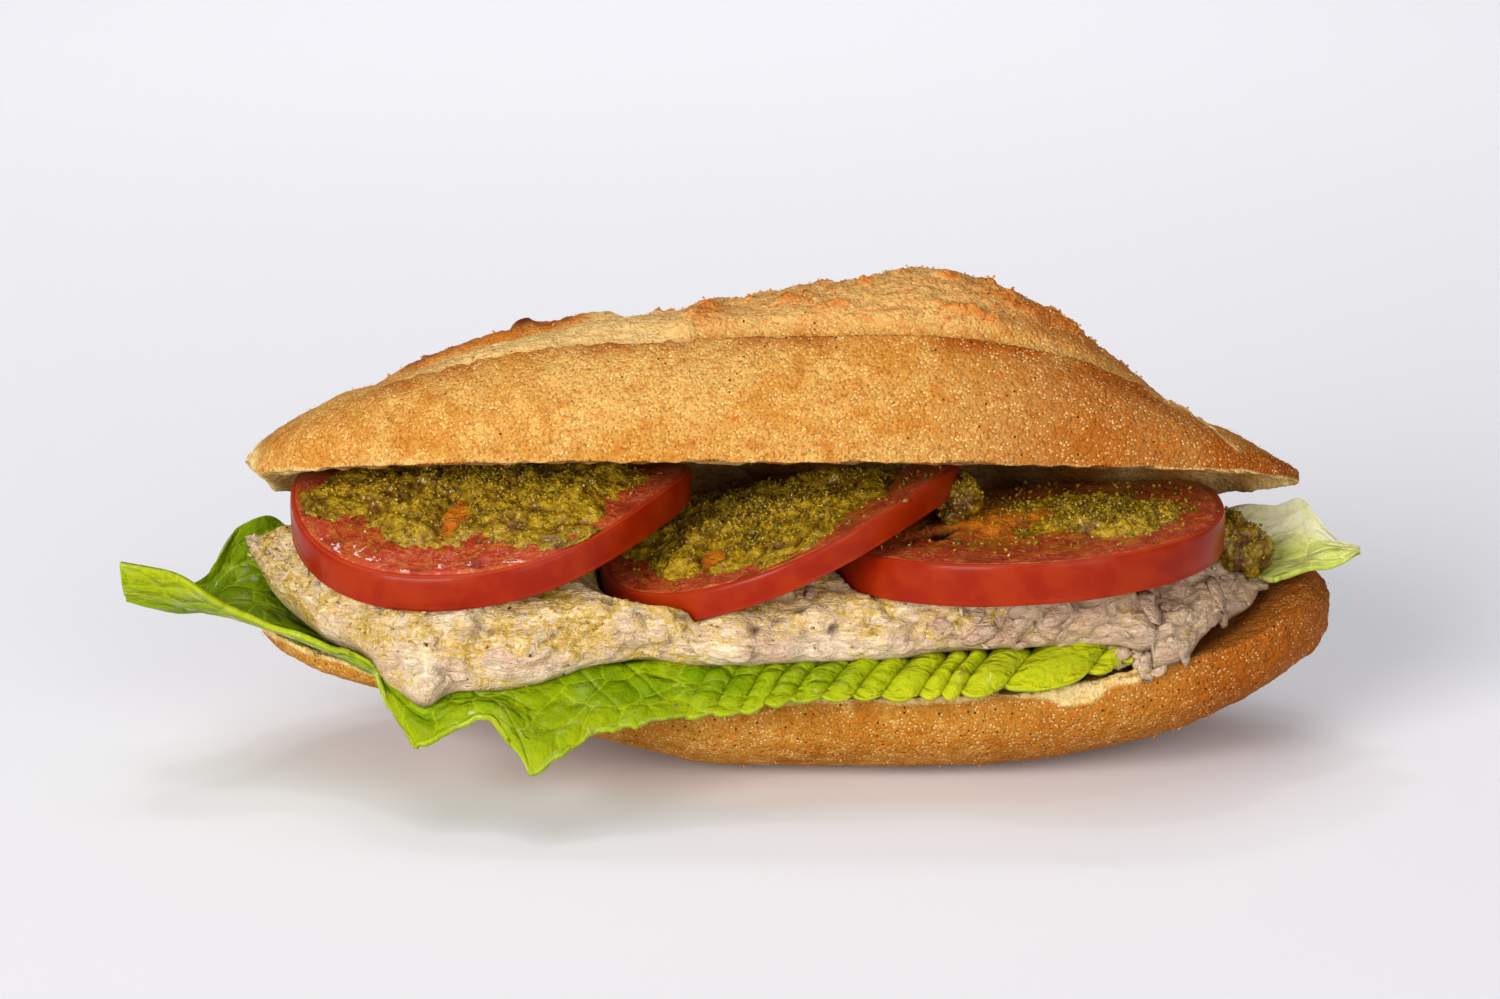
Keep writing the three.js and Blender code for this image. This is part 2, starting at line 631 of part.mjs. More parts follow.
add("pesto_gap", cutBack(pestoBlob(blobs.pesto_gap), grown.tomato_middle, grown.tomato_right), "pesto");

export default sandwich;
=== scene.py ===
import math

import bmesh
import bpy
import numpy as np
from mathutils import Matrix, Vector


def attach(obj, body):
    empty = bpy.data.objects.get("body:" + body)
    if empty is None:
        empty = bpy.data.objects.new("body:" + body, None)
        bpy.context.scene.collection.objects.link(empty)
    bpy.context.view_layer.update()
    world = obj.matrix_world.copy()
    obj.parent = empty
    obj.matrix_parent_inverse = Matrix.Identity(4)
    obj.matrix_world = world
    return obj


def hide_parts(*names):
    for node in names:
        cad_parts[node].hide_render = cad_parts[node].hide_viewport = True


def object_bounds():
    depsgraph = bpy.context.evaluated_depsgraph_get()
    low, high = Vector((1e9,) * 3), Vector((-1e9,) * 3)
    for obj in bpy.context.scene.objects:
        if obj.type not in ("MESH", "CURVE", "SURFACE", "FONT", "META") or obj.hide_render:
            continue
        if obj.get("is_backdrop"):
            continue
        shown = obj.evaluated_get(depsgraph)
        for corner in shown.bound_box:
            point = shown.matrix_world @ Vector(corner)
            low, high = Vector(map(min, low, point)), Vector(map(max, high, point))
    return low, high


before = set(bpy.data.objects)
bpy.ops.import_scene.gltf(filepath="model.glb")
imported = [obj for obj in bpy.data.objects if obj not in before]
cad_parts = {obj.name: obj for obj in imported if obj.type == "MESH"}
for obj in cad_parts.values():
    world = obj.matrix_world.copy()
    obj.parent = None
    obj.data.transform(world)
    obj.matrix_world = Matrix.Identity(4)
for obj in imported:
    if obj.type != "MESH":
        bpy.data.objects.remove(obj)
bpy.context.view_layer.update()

mm = 0.001
tau = 2 * math.pi
dice = np.random.default_rng(11)

# Sizes below are in millimetres, X along the loaf, Y away from the open side, Z up


def mix(a, b, t):
    return a + (b - a) * t


def clamp(v):
    return np.clip(v, 0.0, 1.0)


def ease(v):
    return clamp(v) ** 2 * (3 - 2 * clamp(v))


def through(*knots):
    # smooth curve through [x, value] knots
    xs, vs = np.array(knots, float).T
    slopes = np.empty(len(xs))
    slopes[1:-1] = (vs[2:] - vs[:-2]) / (xs[2:] - xs[:-2])
    slopes[0] = (vs[1] - vs[0]) / (xs[1] - xs[0])
    slopes[-1] = (vs[-1] - vs[-2]) / (xs[-1] - xs[-2])

    def curve(x):
        x = np.clip(x, xs[0], xs[-1])
        i = np.clip(np.searchsorted(xs, x, side="right") - 1, 0, len(xs) - 2)
        span = xs[i + 1] - xs[i]
        t = (x - xs[i]) / span
        u = 1 - t
        return vs[i] * u * u * (1 + 2 * t) + vs[i + 1] * t * t * (1 + 2 * u) + span * t * u * (slopes[i] * u - slopes[i + 1] * t)

    return curve


def lumps(x, y, z, size, seed=0):
    k = tau / size
    return (
        np.sin(k * (x + 0.31 * y) + 1.7 * seed + 1.3 * np.sin(0.53 * k * z))
        + np.sin(k * (0.83 * y - 0.42 * x + 0.2 * z) + 2.9 * seed)
        + np.sin(k * (0.91 * z + 0.37 * x) + 0.6 * seed + 1.1 * np.sin(0.47 * k * y))
    ) / 3


def hashed(i, j, k, seed):
    n = (i * 374761393 + j * 668265263 + k * 1440662683 + seed * 974634777) & 0xFFFFFFFF
    n = ((n ^ (n >> 13)) * 1274126177) & 0xFFFFFFFF
    return ((n ^ (n >> 16)) & 0xFFFF) / 65535.0


def cloud(p, size, seed=0):
    # soft value noise between -1 and 1
    q = p / np.asarray(size, float)
    c = np.floor(q).astype(np.int64)
    f = q - c
    f = f * f * (3 - 2 * f)
    total = 0
    for dx in (0, 1):
        for dy in (0, 1):
            for dz in (0, 1):
                w = (f[:, 0] if dx else 1 - f[:, 0]) * (f[:, 1] if dy else 1 - f[:, 1]) * (f[:, 2] if dz else 1 - f[:, 2])
                total = total + w * hashed(c[:, 0] + dx, c[:, 1] + dy, c[:, 2] + dz, seed)
    return 2 * total - 1


def clouds(p, size, seed=0, octaves=3, fade=0.5):
    total, gain = 0, 1.0
    for o in range(octaves):
        total = total + gain * cloud(p, np.asarray(size, float) / 2**o, seed + 17 * o)
        gain *= fade
    return total


def cells(p, size, seed=0):
    # distance to the nearest scattered point, in cells, and that point's own random number
    q = p / np.asarray(size, float)
    c = np.floor(q).astype(np.int64)
    best, pick = np.full(len(q), 9.0), np.zeros(len(q))
    for dx in (-1, 0, 1):
        for dy in (-1, 0, 1):
            for dz in (-1, 0, 1):
                i, j, k = c[:, 0] + dx, c[:, 1] + dy, c[:, 2] + dz
                spot = np.stack([i + hashed(i, j, k, seed), j + hashed(i, j, k, seed + 1), k + hashed(i, j, k, seed + 2)], 1)
                d = np.sqrt(((q - spot) ** 2).sum(1))
                near = d < best
                best = np.where(near, d, best)
                pick = np.where(near, hashed(i, j, k, seed + 3), pick)
    return best, pick


def patchAt(u, v, patch):
    # 1 inside an oval given by its middle and half widths, fading to 0 around it
    pu, pv, ru, rv = patch[:4]
    return np.exp(-(((u - pu) / ru) ** 2 + ((v - pv) / rv) ** 2) ** 1.5)


def pointsOf(mesh):
    flat = np.empty(len(mesh.vertices) * 3, np.float32)
    mesh.vertices.foreach_get("co", flat)
    return flat.reshape(-1, 3).astype(float) / mm


def setPoints(mesh, points):
    mesh.vertices.foreach_set("co", (points * mm).astype(np.float32).ravel())
    mesh.update()


def normalsOf(mesh):
    flat = np.empty(len(mesh.vertices) * 3, np.float32)
    mesh.vertex_normals.foreach_get("vector", flat)
    return flat.reshape(-1, 3).astype(float)


def mark(mesh, **values):
    for name, v in values.items():
        layer = mesh.attributes.new(name, "FLOAT", "POINT")
        layer.data.foreach_set("value", np.asarray(np.broadcast_to(v, len(mesh.vertices)), np.float32))


def newPiece(name, mesh, material, nodes=()):
    made = bpy.data.objects.new(name, mesh)
    bpy.context.scene.collection.objects.link(made)
    mesh.materials.append(material)
    mesh.shade_smooth()
    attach(made, "root")
    if nodes:
        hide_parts(*nodes)
    return made


def gridMesh(name, across, along):
    # a flat grid, and how far each of its points lies across and along it, from 0 to 1
    bm = bmesh.new()
    bmesh.ops.create_grid(bm, x_segments=across, y_segments=along, size=0.5)
    mesh = bpy.data.meshes.new(name)
    bm.to_mesh(mesh)
    bm.free()
    co = pointsOf(mesh) * mm + 0.5
    return mesh, np.round(co[:, 0] * across) / across, np.round(co[:, 1] * along) / along


def ballPiece(piece, place):
    # a grid rolled up into a closed form, its first and last rows drawn together into points
    mesh, turn, run = gridMesh(piece["name"], piece["around"], piece["along"])
    spotsOut, marks = place(turn % 1, run)
    setPoints(mesh, spotsOut)
    mark(mesh, **marks)
    bm = bmesh.new()
    bm.from_mesh(mesh)
    bmesh.ops.remove_doubles(bm, verts=bm.verts, dist=1e-7)
    if bm.calc_volume(signed=True) < 0:
        bmesh.ops.reverse_faces(bm, faces=bm.faces)
    bm.to_mesh(mesh)
    bm.free()
    return newPiece(piece["name"], mesh, piece["material"], piece["replaces"])


def valueOf(piece, name):
    layer = piece.data.attributes[name]
    values = np.empty(len(piece.data.vertices), np.float32)
    layer.data.foreach_get("value", values)
    return values.astype(float)


def roughen(piece, depth):
    # moves each point along its normal by depth(points, normals)
    mesh = piece.data
    p, n = pointsOf(mesh), normalsOf(mesh)
    setPoints(mesh, p + n * depth(p, n)[:, None])


# Materials


def newMaterial(name):
    made = bpy.data.materials.new(name)
    made.use_nodes = True
    return made, made.node_tree


def put(tree, kind, links=(), **values):
    node = tree.nodes.new("ShaderNode" + kind)
    for key, value in values.items():
        if key in ("operation", "blend_type", "data_type", "attribute_name", "feature", "distance", "noise_dimensions", "clamp", "noise_type", "voronoi_dimensions", "invert", "subsurface_method"):
            setattr(node, key, value)
        else:
            node.inputs[key.replace("_", " ")].default_value = value
    for key, source in dict(links).items():
        tree.links.new(source, node.inputs[key])
    return node


def placeOf(tree):
    # the piece's own place in millimetres
    spot = put(tree, "TexCoord").outputs["Object"]
    scaled = put(tree, "VectorMath", {0: spot}, operation="SCALE")
    scaled.inputs["Scale"].default_value = 1000
    return scaled.outputs[0]


def noise(tree, where, size, detail=3.0, rough=0.55, twist=0.0):
    return put(tree, "TexNoise", {"Vector": where}, Scale=1 / size, Detail=detail, Roughness=rough, Distortion=twist).outputs["Fac"]


def spots(tree, where, size, randomness=1.0, feature="F1"):
    return put(tree, "TexVoronoi", {"Vector": where}, Scale=1 / size, Randomness=randomness, feature=feature)


def level(tree, source, low, high, bottom=0.0, top=1.0):
    node = put(tree, "MapRange", {"Value": source})
    node.interpolation_type = "SMOOTHSTEP"
    for key, value in (("From Min", low), ("From Max", high), ("To Min", bottom), ("To Max", top)):
        node.inputs[key].default_value = value
    return node.outputs["Result"]


def maths(tree, operation, a, b=None):
    node = put(tree, "Math", operation=operation)
    for i, v in enumerate((a, b)):
        if isinstance(v, (int, float)):
            node.inputs[i].default_value = v
        elif v is not None:
            tree.links.new(v, node.inputs[i])
    return node.outputs[0]


def attribute(tree, name):
    return put(tree, "Attribute", attribute_name=name).outputs["Fac"]


def blend(tree, share, a, b, how="MIX"):
    node = put(tree, "Mix", data_type="RGBA", blend_type=how)
    for key, v in ((0, share), (6, a), (7, b)):
        if isinstance(v, bpy.types.NodeSocket):
            tree.links.new(v, node.inputs[key])
        else:
            node.inputs[key].default_value = v if key == 0 else (*v, 1.0)
    return node.outputs[2]


def bumps(tree, height, depth, before=None):
    node = put(tree, "Bump", {"Height": height}, Distance=depth * mm, Strength=1.0)
    if before is not None:
        tree.links.new(before, node.inputs["Normal"])
    return node.outputs["Normal"]


def surface(tree, colour, normal, rough, **values):
    shader = tree.nodes["Principled BSDF"]
    tree.links.new(colour, shader.inputs["Base Color"])
    if normal is not None:
        tree.links.new(normal, shader.inputs["Normal"])
    if isinstance(rough, bpy.types.NodeSocket):
        tree.links.new(rough, shader.inputs["Roughness"])
    else:
        shader.inputs["Roughness"].default_value = rough
    for key, value in values.items():
        shader.inputs[key.replace("_", " ")].default_value = value
    return shader


def srgb(r, g, b):
    # photo colour to linear light
    return tuple(c / 255 / 12.92 if c <= 10 else ((c / 255 + 0.055) / 1.055) ** 2.4 for c in (r, g, b))


def crustMaterial(name, golden, toasted, dark, specks):
    made, tree = newMaterial(name)
    where = placeOf(tree)
    broad = noise(tree, where, 17, 3, 0.5)
    mid = noise(tree, where, 3.4, 5, 0.66)
    small = noise(tree, where, 1.2, 3, 0.6)
    fine = noise(tree, where, 0.5, 2, 0.6)
    grain = spots(tree, where, 0.75)
    colour = blend(tree, level(tree, broad, 0.36, 0.66, 0, 0.8), golden, toasted)
    colour = blend(tree, level(tree, mid, 0.5, 0.7, 0, 0.6), colour, srgb(226, 180, 98))
    colour = blend(tree, level(tree, mid, 0.3, 0.46, 0.55, 0), colour, dark)
    colour = blend(tree, level(tree, small, 0.54, 0.68, 0, 0.5), colour, srgb(178, 98, 30))
    colour = blend(tree, maths(tree, "MULTIPLY", attribute(tree, "toast"), level(tree, small, 0.2, 0.5, 0.6, 1)), colour, srgb(146, 70, 6))
    colour = blend(tree, level(tree, fine, 0.36, 0.5, 0.55, 0), colour, srgb(120, 56, 6))
    paleGrain = maths(tree, "MULTIPLY", level(tree, grain.outputs["Distance"], 0.12, 0.36, 1, 0), level(tree, mid, 0.38, 0.56))
    colour = blend(tree, maths(tree, "MULTIPLY", paleGrain, 0.7), colour, srgb(248, 212, 150))
    crackTone = blend(tree, level(tree, small, 0.38, 0.66), srgb(214, 172, 100), srgb(236, 208, 148))
    colour = blend(tree, maths(tree, "MULTIPLY", attribute(tree, "burst"), 0.9), colour, crackTone)
    crisp = maths(tree, "MULTIPLY", attribute(tree, "toastSpots"), level(tree, small, 0.48, 0.6))
    colour = blend(tree, maths(tree, "MULTIPLY", crisp, 0.75), colour, srgb(194, 110, 24))
    colour = blend(tree, maths(tree, "MULTIPLY", attribute(tree, "scab"), 0.85), colour, srgb(194, 98, 18))
    colour = blend(tree, attribute(tree, "scorch"), colour, srgb(84, 26, 8))
    dots = spots(tree, where, 1.3)
    chosen = level(tree, put(tree, "SeparateColor", {"Color": dots.outputs["Color"]}).outputs[0], 0.99 - specks, 1 - specks)
    black = maths(tree, "MULTIPLY", level(tree, dots.outputs["Distance"], 0.15, 0.21, 1, 0), chosen)
    colour = blend(tree, maths(tree, "MULTIPLY", black, 0.92), colour, srgb(40, 22, 12))
    # crumb pores painted darker: painted shade inside the holes of the crumb
    poreShade = level(tree, noise(tree, where, 1.1, 4, 0.7), 0.38, 0.5, 0.6, 0)
    crumbTone = blend(tree, level(tree, mid, 0.35, 0.7), srgb(206, 170, 96), srgb(232, 206, 146))
    crumbTone = blend(tree, poreShade, crumbTone, srgb(170, 126, 58))
    colour = blend(tree, attribute(tree, "crumb"), colour, crumbTone)
    # oil-soaked crumb; on the lid's underside this darkening is also painted shade under the lid
    colour = blend(tree, attribute(tree, "oily"), colour, srgb(140, 84, 24))
    normal = bumps(tree, grain.outputs["Distance"], 0.3)
    normal = bumps(tree, fine, 0.25, normal)
    normal = bumps(tree, small, 0.5, normal)
    surface(tree, colour, normal, level(tree, mid, 0.3, 0.7, 0.85, 0.65), Specular_IOR_Level=0.07)
    return made


lidCrust = crustMaterial("lidCrust", srgb(203, 158, 84), srgb(188, 124, 40), srgb(168, 94, 18), 0.07)
baseCrust = crustMaterial("baseCrust", srgb(190, 140, 54), srgb(162, 104, 24), srgb(130, 68, 8), 0.4)


def leafMaterial(name, young, fresh, deep, veinTone, glow):
    made, tree = newMaterial(name)
    where = placeOf(tree)
    patch = noise(tree, where, 9, 3)
    small = noise(tree, where, 1.4, 3)
    along, across = attribute(tree, "leafX"), attribute(tree, "leafY")
    bend = maths(tree, "MULTIPLY", noise(tree, where, 6, 2), 3.0)
    flat = put(tree, "CombineXYZ", {"X": maths(tree, "ADD", along, bend), "Y": maths(tree, "ADD", across, bend)}).outputs[0]
    coarse = spots(tree, flat, 6.8, feature="DISTANCE_TO_EDGE").outputs["Distance"]
    net = spots(tree, flat, 2.6, feature="DISTANCE_TO_EDGE").outputs["Distance"]
    streak = put(tree, "CombineXYZ", {"X": along, "Y": maths(tree, "MULTIPLY", across, 0.12)}).outputs[0]
    streaks = noise(tree, streak, 1.3, 3)
    colour = blend(tree, level(tree, patch, 0.38, 0.62), fresh, deep)
    colour = blend(tree, attribute(tree, "young"), colour, young)
    colour = blend(tree, maths(tree, "MULTIPLY", attribute(tree, "stripes"), level(tree, streaks, 0.42, 0.6)), colour, deep)
    colour = blend(tree, level(tree, net, 0.0, 0.05, 0.16, 0), colour, deep)
    colour = blend(tree, level(tree, coarse, 0.01, 0.04, 0.7, 0), colour, veinTone)
    colour = blend(tree, attribute(tree, "rib"), colour, srgb(170, 188, 60))
    # painted shade darkens the creases between the pleats
    colour = blend(tree, attribute(tree, "creaseShade"), colour, srgb(88, 98, 4))
    normal = bumps(tree, level(tree, net, 0.0, 0.3), 0.1)
    normal = bumps(tree, level(tree, coarse, 0.0, 0.3), 0.5, normal)
    normal = bumps(tree, streaks, 0.2, normal)
    normal = bumps(tree, small, 0.5, normal)
    shader = surface(tree, colour, normal, 0.42, Specular_IOR_Level=0.03, Coat_Roughness=0.04, Subsurface_Weight=glow, Subsurface_Scale=0.0025)
    shader.inputs["Subsurface Radius"].default_value = (0.6, 1.0, 0.1)
    wet = level(tree, noise(tree, where, 3.5, 3), 0.5, 0.6, 0.02, 0.6)  # oil shines on it in places
    tree.links.new(wet, shader.inputs["Coat Weight"])
    return made


leafGreen = leafMaterial("leafGreen", srgb(178, 180, 22), srgb(116, 140, 2), srgb(90, 124, 1), srgb(150, 166, 22), 0.2)
leafPale = leafMaterial("leafPale", srgb(214, 208, 176), srgb(190, 196, 76), srgb(172, 180, 50), srgb(214, 216, 140), 0.45)


def tunaMaterial():
    made, tree = newMaterial("tunaSalad")
    where = placeOf(tree)
    patch = noise(tree, where, 7, 4)
    fibre = put(tree, "Mapping", {"Vector": where})
    fibre.inputs["Scale"].default_value = (0.35, 1.0, 1.2)
    fibre.inputs["Rotation"].default_value = (0.3, 0.5, 0.6)
    strands = noise(tree, fibre.outputs[0], 1.2, 4, 0.6, 1.2)
    fine = noise(tree, where, 0.8, 3)
    colour = blend(tree, level(tree, patch, 0.4, 0.6), srgb(218, 194, 162), srgb(200, 166, 136))
    # raised strands painted lighter as highlight and the low parts between them painted darker as shade, over the
    # fibres' own light and dark tones
    colour = blend(tree, level(tree, strands, 0.52, 0.68, 0, 0.65), colour, srgb(228, 209, 178))
    colour = blend(tree, level(tree, strands, 0.34, 0.46, 0.4, 0), colour, srgb(170, 128, 96))
    colour = blend(tree, attribute(tree, "shade"), colour, srgb(162, 124, 94))
    seep = maths(tree, "ADD", maths(tree, "MULTIPLY", noise(tree, where, 1.0, 3, 0.65), 0.6), maths(tree, "MULTIPLY", noise(tree, where, 6, 3), 0.4))
    seep = maths(tree, "ADD", seep, maths(tree, "MULTIPLY", attribute(tree, "oily"), 0.2))
    colour = blend(tree, maths(tree, "MULTIPLY", level(tree, seep, 0.58, 0.74), 0.7), colour, srgb(218, 186, 94))
    colour = blend(tree, maths(tree, "MULTIPLY", level(tree, seep, 0.69, 0.75), 0.75), colour, srgb(186, 144, 16))
    # pits painted dark: painted shade in the hollows
    colour = blend(tree, attribute(tree, "hollow"), colour, srgb(104, 74, 52))
    # oil seeping where the salad meets the leaf, with painted contact shade along that line
    colour = blend(tree, attribute(tree, "contact"), colour, srgb(74, 58, 10))
    normal = bumps(tree, strands, 1.0)
    normal = bumps(tree, fine, 0.4, normal)
    surface(tree, colour, normal, level(tree, fine, 0.35, 0.65, 0.22, 0.5), Specular_IOR_Level=0.5, Subsurface_Weight=0.1, Subsurface_Scale=0.002, Coat_Weight=0.3, Coat_Roughness=0.07)
    tree.nodes["Principled BSDF"].inputs["Subsurface Radius"].default_value = (1.0, 0.7, 0.4)
    return made


tunaFlesh = tunaMaterial()


def tomatoMaterial():
    made, tree = newMaterial("tomato")
    where = placeOf(tree)
    reach, turn = attribute(tree, "reach"), attribute(tree, "turn")
    outward = put(tree, "CombineXYZ", {"X": maths(tree, "MULTIPLY", reach, 6.0), "Y": maths(tree, "MULTIPLY", turn, 90.0)}).outputs[0]
    around = put(tree, "CombineXYZ", {"X": maths(tree, "MULTIPLY", reach, 24.0), "Y": maths(tree, "MULTIPLY", turn, 40.0)}).outputs[0]
    rays = noise(tree, outward, 1.0, 3, 0.6)
    rings = noise(tree, around, 1.0, 4, 0.65, 1.0)
    patch = noise(tree, where, 6, 4)
    grit = noise(tree, where, 0.9, 4, 0.65)
    flesh = blend(tree, level(tree, reach, 0.7, 0.92), srgb(158, 47, 14), srgb(178, 56, 34))
    flesh = blend(tree, level(tree, rays, 0.5, 0.7, 0, 0.5), flesh, srgb(198, 104, 70))
    # pale fibres of the flesh, painted lighter on the raised grit as small highlights
    flesh = blend(tree, level(tree, grit, 0.52, 0.62, 0, 0.65), flesh, srgb(214, 128, 84))
    flesh = blend(tree, level(tree, patch, 0.34, 0.5, 0.6, 0), flesh, srgb(122, 22, 8))
    stain = maths(tree, "MULTIPLY", level(tree, rings, 0.47, 0.6), level(tree, reach, 0.6, 0.97, 1, 0.5))
    flesh = blend(tree, maths(tree, "MULTIPLY", stain, 0.75), flesh, srgb(188, 116, 22))
    flesh = blend(tree, attribute(tree, "gel"), flesh, srgb(232, 138, 26))
    # the sunk cavity painted near black: painted shade inside the hole
    flesh = blend(tree, attribute(tree, "hole"), flesh, srgb(34, 6, 3))
    skin = blend(tree, level(tree, patch, 0.35, 0.65), srgb(134, 26, 2), srgb(146, 40, 5))
    # a lighter line on the rounded top edge of the skin: painted highlight
    rim = maths(tree, "MULTIPLY", level(tree, reach, 0.975, 0.99), level(tree, reach, 0.994, 1.004, 1, 0))
    colour = blend(tree, level(tree, reach, 0.972, 0.98), flesh, skin)
    colour = blend(tree, maths(tree, "MULTIPLY", rim, 0.3), colour, srgb(196, 76, 44))
    wet = level(tree, reach, 0.95, 0.98, 1, 0)
    normal = bumps(tree, maths(tree, "MULTIPLY", grit, wet), 0.9)
    normal = bumps(tree, maths(tree, "MULTIPLY", rings, wet), 0.5, normal)
    shader = surface(tree, colour, normal, 0.3, Specular_IOR_Level=0.1, Subsurface_Weight=0.04, Subsurface_Scale=0.0015, Coat_Roughness=0.05)
    tree.links.new(level(tree, reach, 0.95, 0.98, 0.4, 0.05), shader.inputs["Coat Weight"])
    shader.inputs["Subsurface Radius"].default_value = (1.0, 0.2, 0.1)
    return made


tomatoFlesh = tomatoMaterial()


def pestoMaterial(name, tones, rough):
    made, tree = newMaterial(name)
    where = placeOf(tree)
    patch = noise(tree, where, 3.2, 4, 0.6)
    grit = noise(tree, where, 0.8, 3, 0.7)
    colour = blend(tree, level(tree, patch, 0.38, 0.62), tones[0], tones[1])
    # lighter tone on the raised grit is painted highlight; darker tone in its low parts and in the crevices is painted
    # shade
    colour = blend(tree, level(tree, grit, 0.5, 0.66), colour, tones[2])
    colour = blend(tree, level(tree, grit, 0.34, 0.46, 0.8, 0), colour, tones[3])
    colour = blend(tree, attribute(tree, "crevice"), colour, tones[3])
    normal = bumps(tree, grit, 0.9)
    surface(tree, colour, normal, rough, Specular_IOR_Level=0.2, Coat_Weight=0.5, Coat_Roughness=0.05)
    return made


pestoSauce = pestoMaterial("pestoSauce", (srgb(172, 136, 12), srgb(144, 112, 8), srgb(198, 164, 34), srgb(92, 54, 2)), 0.34)
pestoLeaf = pestoMaterial("pestoLeaf", (srgb(114, 100, 12), srgb(90, 78, 6), srgb(142, 124, 26), srgb(54, 42, 2)), 0.36)
pestoNut = pestoMaterial("pestoNut", (srgb(206, 170, 74), srgb(184, 140, 44), srgb(226, 200, 116), srgb(136, 96, 24)), 0.3)
flour = pestoMaterial("flourGrain", (srgb(220, 170, 98), srgb(202, 142, 64), srgb(232, 194, 128), srgb(172, 106, 40)), 0.7)
flour.node_tree.nodes["Principled BSDF"].inputs["Coat Weight"].default_value = 0.0
crisps = pestoMaterial("crustCrisp", (srgb(216, 158, 76), srgb(198, 126, 44), srgb(234, 190, 114), srgb(156, 88, 26)), 0.6)
crisps.node_tree.nodes["Principled BSDF"].inputs["Coat Weight"].default_value = 0.0
pepper = pestoMaterial("pepperGrain", (srgb(60, 56, 54), srgb(40, 38, 38), srgb(96, 92, 88), srgb(20, 18, 18)), 0.5)
oil = bpy.data.materials.new("herbOil")
oil.use_nodes = True
surfaceOfOil = oil.node_tree.nodes["Principled BSDF"]
surfaceOfOil.inputs["Base Color"].default_value = (*srgb(236, 204, 90), 1)
surfaceOfOil.inputs["Roughness"].default_value = 0.04
surfaceOfOil.inputs["Transmission Weight"].default_value = 0.9
surfaceOfOil.inputs["IOR"].default_value = 1.46
print("materials ready")

# Lower half of the loaf
base = {
    "name": "breadBase",
    "around": 300,
    "along": 260,
    "material": baseCrust,
    "replaces": ["bread_base"],
    "slot": "crust",
    "left": -100.5,
    "right": 104.0,
    "halfWidth": 36.0,
    "crustShare": 24 / 34,
    "under": through([-100.5, 22.6], [-92, 18.2], [-77, 14.6], [-54, 9.8], [-32, 4.4], [-22, 1.6], [-15, -0.3], [-6, -0.6], [36, -0.6], [56, 1.8], [73, 5.6], [84, 9.8], [95, 15.4], [101, 19], [104, 23]),
    "frontEdge": through([-100.5, 25], [-78, 21.5], [-50, 20], [0, 19], [36, 19.6], [50, 20.6], [62, 21.6], [74, 24.4], [86, 29], [98, 34], [104, 31]),
    "backRise": through([-100.5, 0], [-60, 3.5], [40, 4], [80, 3], [104, 0]),
}


def baseHalfWidth(x):
    t = np.clip(2 * (x - base["left"]) / (base["right"] - base["left"]) - 1, -1, 1)
    return base["halfWidth"] * np.sqrt(np.maximum(0, 1 - np.abs(t) ** np.where(t < 0, 2.5, 3.8)))


def cutHeight(x, y):
    w = np.maximum(baseHalfWidth(x), 1)
    share = clamp((y + w) / (2 * w))
    return base["frontEdge"](x) + base["backRise"](x) * share - 0.8 * np.sin(math.pi * share)


def basePlace(turn, run):
    share = 0.15 * run + 0.85 * (0.5 - 0.5 * np.cos(math.pi * run))
    x = mix(base["left"], base["right"], share)
    w = baseHalfWidth(x)
    onCut = turn > base["crustShare"] + 1e-6
    back = (1 - turn) / (1 - base["crustShare"])
    yCut = w * np.cos(math.pi * (1 - back))
    angle = math.pi * clamp(turn / base["crustShare"])
    side = np.maximum(0, np.sin(angle))
    y = -w * np.sign(np.cos(angle)) * np.abs(np.cos(angle)) ** 0.84
    edge = cutHeight(x, -w * np.cos(angle))
    depth = np.where(w < 1e-6, 0, edge - base["under"](x))
    swell = (1 + 0.05 * np.sin(2 * angle) * np.sign(np.cos(angle))) * (1 + 0.012 * lumps(x, y, 0, 42, 1))
    z = np.maximum(edge - depth * side**0.84, 0)
    spotsOut = np.stack([x, np.where(onCut, yCut, y * swell), np.where(onCut, cutHeight(x, yCut), z)], 1)
    toast = 0.16 + 0.32 * ease((x - 15) / 45) + 0.42 * ease((x - 64) / 22) + 0.3 * ease((side - 0.86) / 0.12)
    # the nose is domed, and the crumb stands up where the front edge is torn
    lean = clamp(-spotsOut[:, 1] / np.maximum(w, 1))
    topness = clamp((spotsOut[:, 2] - base["under"](x)) / np.maximum(depth, 1))
    spotsOut[:, 2] -= 0.13 * ease((x - 74) / 22) * lean**2 * topness * depth
    spotsOut[:, 2] += 2.3 * np.exp(-(((x - 64) / 11) ** 2)) * ease((lean - 0.8) / 0.15) * topness**3
    # a torn strip of crumb along the front edge, and a crust that closes over the nose
    strip = (1.4 + 2.6 * ease((x - 40) / 14)) * ease((75 - x) / 6) * clamp(0.75 + 0.6 * lumps(x, 0, 0, 11, 5))
    torn = clamp((z - (edge - strip)) / 0.5) * (y < 0) * (side < 0.6)
    cutCrumb = onCut * ease((77 - x + 3 * lumps(x, y, 0, 9, 2)) / 6) * (1 - 0.45 * ease((x - 66) / 6))
    return spotsOut, {
        "crumb": clamp(cutCrumb + torn * (1 - onCut)),
        "burst": 0.0 * x,
        "toast": clamp(toast),
        "toastSpots": 0.4 + 0 * x,
        "scab": 0.0 * x,
        "scorch": 0.0 * x,
        "oily": 0.5 * onCut * ease((x + 20) / 40) * ease((100 - x) / 10),
    }


breadBase = ballPiece(base, basePlace)


def crustDepth(p, n):
    return 0.16 * clouds(p, 7, 3, 2) + (0.15 + 0.12 * ease((p[:, 0] - 30) / 50)) * clouds(p, 1.7, 5, 2)


